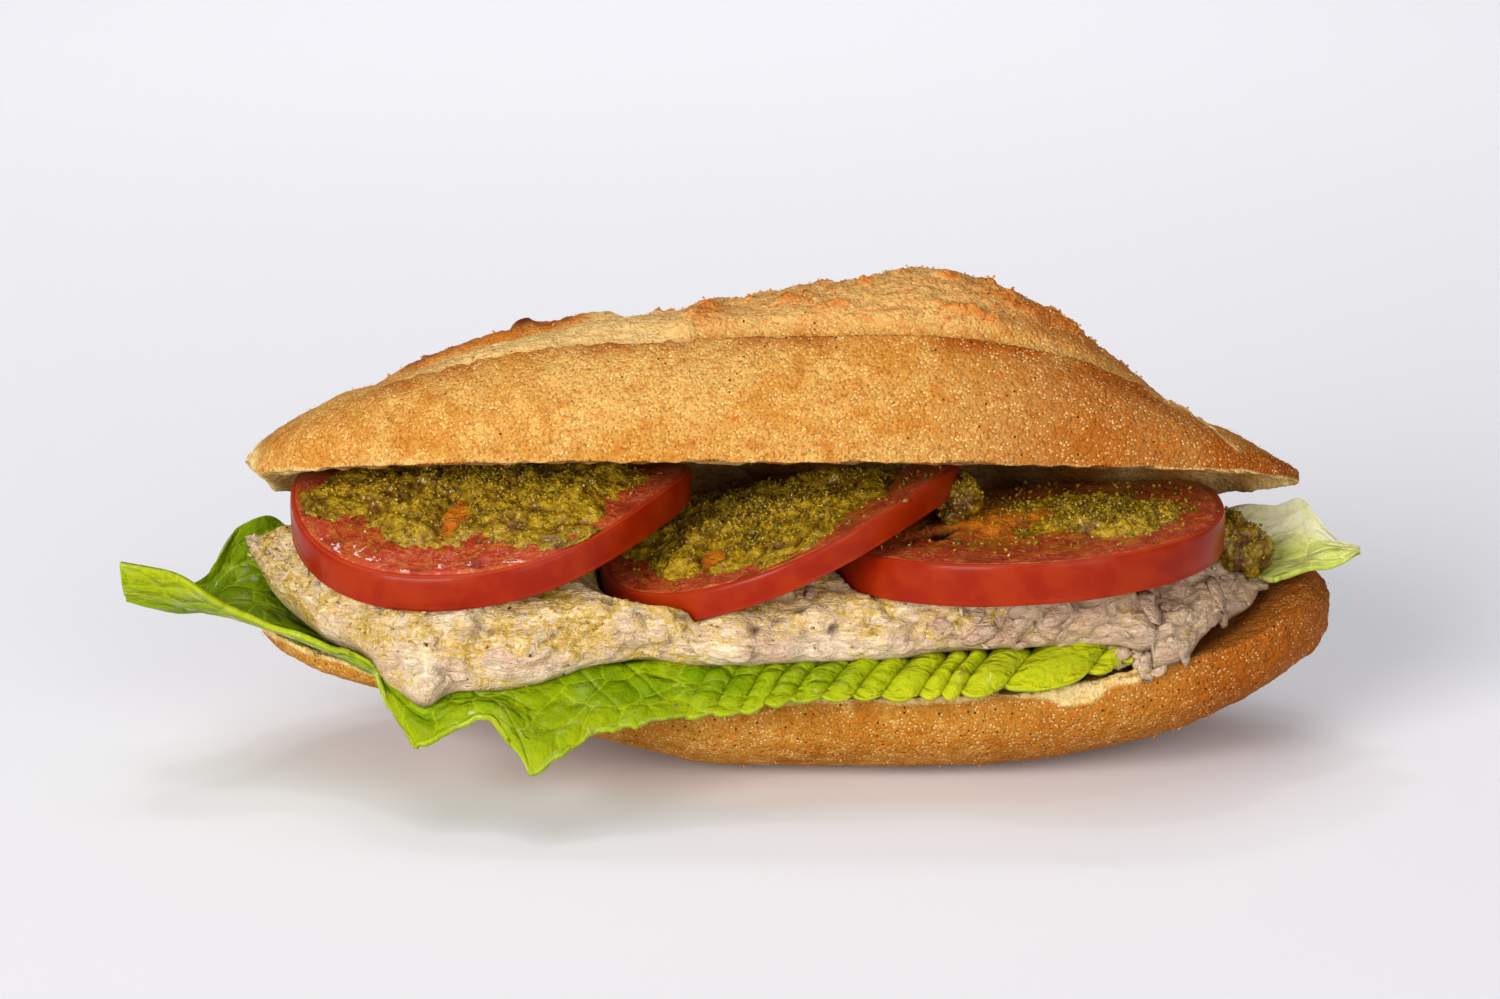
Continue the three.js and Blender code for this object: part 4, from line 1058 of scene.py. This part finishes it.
def tunaPlace(turn, run):
    spotsOut = np.empty((len(turn), 3))
    heart = np.empty((len(turn), 3))
    along = tuna["along"]
    row = np.round(run * along).astype(int)
    for r in range(along + 1):
        share = 0.7 * r / along + 0.3 * (0.5 - 0.5 * math.cos(math.pi * r / along))
        x = mix(tuna["left"], tuna["right"], share)
        loop, length = tunaLoop(x)
        here = row == r
        spotsOut[here, 0] = x
        spotsOut[here, 1] = np.interp(turn[here], length, loop[:, 0])
        spotsOut[here, 2] = np.interp(turn[here], length, loop[:, 1])
        at = np.array([x])
        heart[here] = (x, float(mix(tuna["footY"](at), tuna["backY"](at), 0.5)[0]), float((tuna["footZ"](at) + 0.5 * tuna["brow"](at))[0]))
    closeness = np.minimum(1, np.sqrt(9 * np.minimum(run, 1 - run)))[:, None]
    x, y, z = spotsOut.T
    outer = clamp((z - (tunaFloor(x, y) - tuna["clear"]) - tuna["clear"] - 1) / 5)
    crag = (1.1 * lumps(x, y, z, 13, 3) + 0.8 * lumps(x, y, z, 7.5, 4)) * outer
    away = spotsOut - heart
    away = away / np.maximum(np.linalg.norm(away, axis=1), 1e-6)[:, None]
    p = mix(heart, spotsOut, closeness) + away * crag[:, None] * closeness
    return p, {"outer": outer}


tunaSalad = ballPiece(tuna, tunaPlace)


def tunaDepth(p, n):
    outer = valueOf(tunaSalad, "outer")
    chunky = 0.7 + 0.6 * ease((p[:, 0] - 5) / 30)
    bent = p + 1.2 * np.stack([cloud(p, 5, 71), cloud(p, 5, 72), cloud(p, 5, 73)], 1)
    big, _ = cells(bent, (9, 7, 6), 51)
    knobs, _ = cells(bent, (4.4, 3, 2.8), 52)
    pits, pick = cells(p, (5, 4, 3.6), 57)
    shreds = 0.5 - np.abs(clouds(bent, (5, 2.6, 2.2), 55, 3))
    crumbs, _ = cells(bent, (2.6, 1.6, 1.5), 54)
    depth = 2.0 * chunky * (0.5 - big) + 0.9 * (0.5 - knobs) + 0.6 * (0.5 - crumbs) + 1.4 * shreds + 1.5 * np.exp(-(((p[:, 0] + 8) / 15) ** 2)) * clamp(-n[:, 1])
    deep = (pick > 0.8 - 0.15 * ease(p[:, 0] / 30)) * clamp(1 - pits / 0.4)
    return outer * (depth - 2.0 * deep)


roughen(tunaSalad, tunaDepth)
tunaPoints = pointsOf(tunaSalad.data)
for key in slices:
    tunaPoints = clearInFront(slices[key], pressUnder(slices[key], tunaPoints))
setPoints(tunaSalad.data, tunaPoints)
beside = np.zeros(len(tunaPoints))
for s in slices.values():
    beside = np.maximum(beside, insideSlice(s, tunaPoints[:, 0], tunaPoints[:, 1], 6.0))
pits, pick = cells(tunaPoints, (5, 4, 3.6), 57)
aboveFloor = tunaPoints[:, 2] - tunaFloor(tunaPoints[:, 0], tunaPoints[:, 1]) + tuna["clear"]
deep = (pick > 0.8 - 0.15 * ease(tunaPoints[:, 0] / 30)) * clamp(1 - pits / 0.36)
bent = tunaPoints + 1.2 * np.stack([cloud(tunaPoints, 5, 71 + i) for i in range(3)], 1)
crevice = ease((cells(bent, (9, 7, 6), 51)[0] - 0.55) / 0.2)
stained = 0.3 + 0.45 * np.exp(-(((tunaPoints[:, 0] + 27) / 12) ** 2)) + 0.45 * crevice + 0.5 * beside * ease((tunaPoints[:, 2] - 29) / 5) + 0.3 * ease((-60 - tunaPoints[:, 0]) / 14)
mark(
    tunaSalad.data,
    oily=clamp(stained * (1 - 0.6 * ease((tunaPoints[:, 0] - 25) / 25))),
    # hollow marks the painted shade in the deep pits
    hollow=clamp(1.2 * deep) * valueOf(tunaSalad, "outer"),
    # where the salad sits on the leaf: oil line plus painted contact shade
    contact=0.85 * clamp((3 - aboveFloor) / 1.6) * (tunaPoints[:, 1] < 0),
    shade=0.5 * ease((tunaPoints[:, 0] - 10) / 34),
)
print("tuna salad made")

# Pesto
spreads = [
    {"node": "pesto_left", "on": "left", "u": 1, "v": -3, "ru": 33, "rv": 27, "thickness": 2.6, "seed": 11},
    {"node": "pesto_middle", "on": "middle", "u": -3, "v": -1, "ru": 27, "rv": 28, "thickness": 2.6, "seed": 12},
    {"node": "pesto_right", "on": "right", "u": 14, "v": -8, "ru": 20, "rv": 16, "thickness": 2.4, "seed": 13, "sparse": 0.3},
]
heapRings = np.concatenate([np.linspace(0, 1, 76), np.linspace(0.94, 0, 10)])


def pestoGrain(piece, q, shade=0.0):
    # heaped grains, with the crevices between them marked for painted shade
    grain, _ = cells(q, 1.3, 61)
    lump, _ = cells(q + 0.8 * np.stack([cloud(q, 3, 64), cloud(q, 3, 65), 0 * q[:, 0]], 1), 3.3, 63)
    mark(piece.data, crevice=clamp(shade + 0.7 * ease((lump - 0.52) / 0.25) + 0.6 * ease((grain - 0.62) / 0.2)))
    return 1.0 * (0.5 - grain) + 1.4 * (0.5 - lump) + 0.3 * clouds(q, 1.2, 62, 2)


def spreadPiece(p):
    s = slices[p["on"]]
    rings = len(heapRings) - 1

    def place(turn, run):
        ring = np.round(run * rings).astype(int)
        r = heapRings[ring]
        angle = tau * turn
        up = ring < 76
        ragged = 1 + 0.1 * np.sin(3 * angle + p["seed"]) + 0.06 * np.sin(7 * angle + 2 * p["seed"])
        u, v = p["u"] + p["ru"] * r * ragged * np.cos(angle), p["v"] + p["rv"] * r * ragged * np.sin(angle)
        flat = np.stack([u, v, 0 * u], 1)
        rag = clouds(flat + 50 * p["seed"], 7, 66, 5, 0.65)
        thin = clamp((1 - r) / 0.3 + 0.45 * rag) - 1.25 * sum(patchAt(u, v, g) for g in s["gels"])
        thin = thin - p.get("sparse", 0) * (1 + clouds(flat, 5, 68, 3))
        if "hole" in s:
            thin = thin - 1.3 * patchAt(u, v, s["hole"])
        heap = p["thickness"] * (0.8 + 0.45 * clouds(flat, 6, 67, 2)) * np.maximum(thin, -0.2) - 0.35
        foot = sliceTop(s, u, v)
        spotsOut = np.stack([s["x"] + u, s["y"] + v, foot + np.where(up, heap, -0.5)], 1)
        if "over" in s:
            spotsOut = pressUnder(s["over"], spotsOut)
        return spotsOut, {"top": np.where(up, clamp(thin), 0)}

    made = ballPiece(
        {
            "name": p["node"].replace("_", ""),
            "around": 400,
            "along": rings,
            "material": pestoSauce,
            "replaces": [p["node"]],
            "slot": "pesto",
        },
        place,
    )

    roughen(made, lambda q, n: valueOf(made, "top") * pestoGrain(made, q))
    return made


for p in spreads:
    p["piece"] = spreadPiece(p)

blobs = [
    {"node": "pesto_run_off", "centre": (84.5, -6, 41), "size": (6.5, 8, 6.2), "lean": 0.35, "seed": 21},
    {"node": "pesto_gap", "centre": (32.6, -17, 52.2), "size": (4, 7, 4), "lean": -0.1, "seed": 22},
]


def blobPiece(b):
    def place(turn, run):
        across = np.sin(math.pi * run)
        way = np.stack([across * np.cos(tau * turn), across * np.sin(tau * turn), np.cos(math.pi * run)], 1)
        swell = 1 + 0.12 * lumps(way[:, 0] * 10, way[:, 1] * 10, way[:, 2] * 10, 11, b["seed"])
        p = np.array(b["centre"]) + way * np.array(b["size"]) * swell[:, None]
        p[:, 0] -= b["lean"] * (p[:, 2] - b["centre"][2])
        return p, {"top": 0 * turn + 1}

    made = ballPiece({"name": b["node"].replace("_", ""), "around": 120, "along": 90, "material": pestoSauce, "replaces": [b["node"]], "slot": "pesto"}, place)
    roughen(made, lambda q, n: pestoGrain(made, q, 0.25) + 0.8 * clouds(q, 5, 62, 2))
    return made


for b in blobs:
    b["piece"] = blobPiece(b)
print("pesto made")

# Small scattered things: one mesh for each kind, made by repeating a few chips


def chipShape(seed, stretch, subdivisions=1, ragged=0.45):
    bm = bmesh.new()
    bmesh.ops.create_icosphere(bm, subdivisions=subdivisions, radius=1)
    co = np.array([v.co for v in bm.verts])
    co = co * (1 + ragged * cloud(co + 7 * seed, 0.7, seed))[:, None] * np.array(stretch)
    faces = np.array([[v.index for v in f.verts] for f in bm.faces])
    bm.free()
    return co, faces


def scatter(name, shapes, places, normals, sizes, material, lie=0.8):
    points, faces, count = [], [], 0
    for i, (place, normal, size) in enumerate(zip(places, normals, sizes)):
        co, tris = shapes[i % len(shapes)]
        side = dice.normal(size=3)
        up = lie * normal + (1 - lie) * dice.normal(size=3)
        up = up / np.linalg.norm(up)
        side = np.cross(up, side)
        side = side / np.linalg.norm(side)
        turned = co @ np.stack([side, np.cross(up, side), up])
        points.append(turned * size + place)
        faces.append(tris + count)
        count += len(co)
    mesh = bpy.data.meshes.new(name)
    points, faces = np.concatenate(points), np.concatenate(faces)
    mesh.vertices.add(len(points))
    mesh.loops.add(len(faces) * 3)
    mesh.polygons.add(len(faces))
    mesh.loops.foreach_set("vertex_index", faces.ravel())
    mesh.polygons.foreach_set("loop_start", np.arange(0, len(faces) * 3, 3))
    setPoints(mesh, points)
    mesh.update(calc_edges=True)
    return newPiece(name, mesh, material)


def pickOn(piece, count, keep):
    # random points of a piece, more where its mask is higher
    mesh = piece.data
    p, n = pointsOf(mesh), normalsOf(mesh)
    chance = np.maximum(keep(p, n), 0)
    chance = chance / chance.sum()
    index = dice.choice(len(p), size=count, p=chance)
    return p[index] + dice.normal(scale=0.25, size=(count, 3)), n[index]


# Chunks of tuna half sunk into the salad, finer flakes on its front, and pepper
chunkShapes = [chipShape(i + 30, (1.0, 0.62, 0.26), 2, 0.75) for i in range(8)]
front = lambda p, n: valueOf(tunaSalad, "outer") * (p[:, 1] < 0) * (p[:, 2] > 23) * clamp(0.3 - n[:, 1])
p, n = pickOn(tunaSalad, 64, lambda p, n: front(p, n) * (0.02 + ease((p[:, 0] - 12) / 30)))
corner = dice.uniform((60.5, -33.5, 24), (70.5, -30, 29), (20, 3))  # a heap beside the end of the leaf
p, n = np.concatenate([p - 0.25 * n, corner]), np.concatenate([n, np.tile((0.0, -0.95, 0.3), (20, 1))])
sizes = dice.uniform(1.6, 3.6, len(p)) * np.where(np.arange(len(p)) < 64, 1, 0.75)
chunks = scatter("tunaChunks", chunkShapes, p, n, sizes, tunaFlesh, 0.86)
mark(chunks.data, oily=0.2, hollow=0.0, contact=0.0, shade=0.5)
flakeShapes = [chipShape(i, (1.0, 0.35, 0.25)) for i in range(6)]
around = lambda p, n: valueOf(tunaSalad, "outer") * (p[:, 2] > 23) * clamp(0.3 + np.abs(n[:, 1])) * (0.35 + 0.65 * (p[:, 1] < 0))
p, n = pickOn(tunaSalad, 520, around)
flakes = scatter("tunaFlakes", flakeShapes, p - 0.2 * n, n, dice.uniform(0.4, 1.3, len(p)), tunaFlesh, 0.9)
mark(flakes.data, oily=0.3, hollow=0.0, contact=0.0, shade=0.15)
grainShapes = [chipShape(i + 9, (1.0, 0.8, 0.55)) for i in range(5)]
p, n = pickOn(tunaSalad, 60, front)
scatter("pepperGrains", grainShapes, p, n, dice.uniform(0.16, 0.5, len(p)), pepper, 0.5)
p, n = pickOn(tunaSalad, 600, lambda p, n: front(p, n) * valueOf(tunaSalad, "oily") ** 2.5)
scatter("tunaFlecks", grainShapes, p, n, 0.14 + 0.34 * dice.random(len(p)) ** 2, pestoSauce, 0.6)

# Chopped leaf and nuts in the pesto, thinning out over the slices around it
for tone, count, low, high in ((pestoSauce, 4400, 0.28, 0.66), (pestoLeaf, 2800, 0.28, 0.68), (pestoNut, 1300, 0.22, 0.54)):
    ps, ns = [], []
    for item, share in zip(spreads + blobs, (0.33, 0.3, 0.13, 0.08, 0.03)):
        heaped = lambda p, n, piece=item["piece"]: (0.05 + valueOf(piece, "top")) * clamp(n[:, 2] + 0.4) * (p[:, 1] < 10)
        a, b = pickOn(item["piece"], int(count * share), heaped)
        ps.append(a)
        ns.append(b)
    for key in slices:
        loose = lambda p, n, piece=tomatoes[key]: clamp(n[:, 2] - 0.3) * ease((0.97 - valueOf(piece, "reach")) / 0.2) * (p[:, 1] < 10)
        a, b = pickOn(tomatoes[key], int(count * (0.09 if key == "right" else 0.06)), loose)
        ps.append(a)
        ns.append(b)
    ps, ns = np.concatenate(ps), np.concatenate(ns)
    scatter(tone.name + "Grains", grainShapes, ps, ns, dice.uniform(low, high, len(ps)) ** 1.3, tone, 0.5)

# Oil standing in drops on the pesto, the slices and the leaf
dropShapes = [chipShape(80, (1.0, 0.9, 0.55), 2)]
ps, ns = [], []
for piece, count in ((spreads[0]["piece"], 60), (spreads[1]["piece"], 60), (spreads[2]["piece"], 24), (tomatoes["middle"], 24), (lettuceLeaf, 30)):
    a, b = pickOn(piece, count, lambda p, n: clamp(n[:, 2]) * (p[:, 1] < -8) * (p[:, 0] > -70))
    ps.append(a)
    ns.append(b)
ps, ns = np.concatenate(ps), np.concatenate(ns)
scatter("oilDrops", dropShapes, ps, ns, dice.uniform(0.3, 0.9, len(ps)), oil, 1.0)

# Flour and semolina baked onto the crust
ps, ns = [], []
for piece, count in ((breadLid, 4600), (breadBase, 1700)):
    a, b = pickOn(piece, count, lambda p, n, piece=piece: (valueOf(piece, "crumb") < 0.5) * (0.4 + (p[:, 1] < 5)))
    ps.append(a)
    ns.append(b)
ps, ns = np.concatenate(ps), np.concatenate(ns)
keep = ps[:, 2] > 1.0
ps, ns = ps[keep], ns[keep]
scatter("flourGrains", grainShapes, ps, ns, 0.06 + 0.09 * dice.random(len(ps)) ** 2, flour, 0.7)

# Crisp crumbs standing up on the burst and along the edges of the crust
ps, ns = [], []
rugged = lambda p, n: (valueOf(breadLid, "toastSpots") - 0.28) + 2 * valueOf(breadLid, "scab") + 0.5 * (valueOf(breadLid, "burst") > 0.3)
for piece, count, keep in ((breadLid, 2600, rugged), (breadBase, 700, lambda p, n: 1.0 * (p[:, 2] < 14))):
    a, b = pickOn(piece, count, keep)
    ps.append(a)
    ns.append(b)
ps, ns = np.concatenate(ps), np.concatenate(ns)
keep = ps[:, 2] > 1.2
ps, ns = ps[keep], ns[keep]
scatter("crustCrisps", grainShapes, ps, ns, 0.14 + 0.28 * dice.random(len(ps)) ** 2, crisps, 0.5)
print("scattered pieces made")

# Studio
floorSize = 6.0
bm = bmesh.new()
bmesh.ops.create_grid(bm, x_segments=1, y_segments=1, size=floorSize)
floorMesh = bpy.data.meshes.new("floor")
bm.to_mesh(floorMesh)
bm.free()
floor = bpy.data.objects.new("floor", floorMesh)
bpy.context.scene.collection.objects.link(floor)
floorMaterial, tree = newMaterial("floorPaper")
paper = tree.nodes["Principled BSDF"].inputs
paper["Base Color"].default_value = (*srgb(247, 246, 250), 1)
paper["Roughness"].default_value = 0.9
paper["Specular IOR Level"].default_value = 0.1
floorMesh.materials.append(floorMaterial)
floor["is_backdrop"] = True

world = bpy.data.worlds.new("studio")
bpy.context.scene.world = world
world.use_nodes = True
world.node_tree.nodes["Background"].inputs[0].default_value = (*srgb(244, 245, 252), 1)
world.node_tree.nodes["Background"].inputs[1].default_value = 0.16

lamps = [
    {"name": "key", "spot": (-1.8, -2.7, 1.15), "size": 1.8, "power": 132, "tint": (1.0, 0.985, 0.96)},
    {"name": "fill", "spot": (1.3, -2.9, 0.85), "size": 2.2, "power": 54, "tint": (1.0, 0.985, 0.97)},
    {"name": "top", "spot": (-0.4, -0.2, 2.8), "size": 2.0, "power": 15.5, "tint": (0.98, 0.985, 1.0)},
    {"name": "glint", "spot": (-0.5, 1.1, 2.1), "size": 0.2, "power": 2.4, "tint": (1.0, 1.0, 1.0)},
    {"name": "overGlint", "spot": (-0.4, 0.2, 2.4), "size": 0.2, "power": 2.4, "tint": (1.0, 1.0, 1.0)},
    {"name": "sweep", "spot": (0.0, 1.5, 1.9), "aim": (0.0, 1.3, 0.0), "size": 1.2, "power": 4, "tint": (0.97, 0.98, 1.0), "spread": 75},
]
for lamp in lamps:
    data = bpy.data.lights.new(lamp["name"], "AREA")
    data.shape = "SQUARE"
    data.size = lamp["size"]
    data.energy = lamp["power"]
    data.color = lamp["tint"]
    data.spread = math.radians(lamp.get("spread", 180))
    light = bpy.data.objects.new(lamp["name"], data)
    light.location = lamp["spot"]
    light.rotation_mode = "QUATERNION"
    aim = Vector(lamp.get("aim", (0, 0, 0.04)))
    light.rotation_quaternion = (aim - light.location).to_track_quat("-Z", "Y")
    bpy.context.scene.collection.objects.link(light)

# Camera
view = {"target": (-0.0067, 0.0, 0.0479), "distance": 0.7945, "elevation": math.radians(14), "lens": 100}
back = Vector((0, -math.cos(view["elevation"]), math.sin(view["elevation"])))
cameraData = bpy.data.cameras.new("camera")
cameraData.lens = view["lens"]
cameraData.sensor_width = 36
cameraData.clip_start = 0.05
camera = bpy.data.objects.new("camera", cameraData)
camera.location = Vector(view["target"]) + back * view["distance"]
camera.rotation_mode = "QUATERNION"
camera.rotation_quaternion = (-back).to_track_quat("-Z", "Y")
bpy.context.scene.collection.objects.link(camera)
bpy.context.scene.camera = camera
bpy.context.scene.view_settings.view_transform = "Standard"

low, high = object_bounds()
print("visual box", [round(v, 4) for v in (*low, *high)])
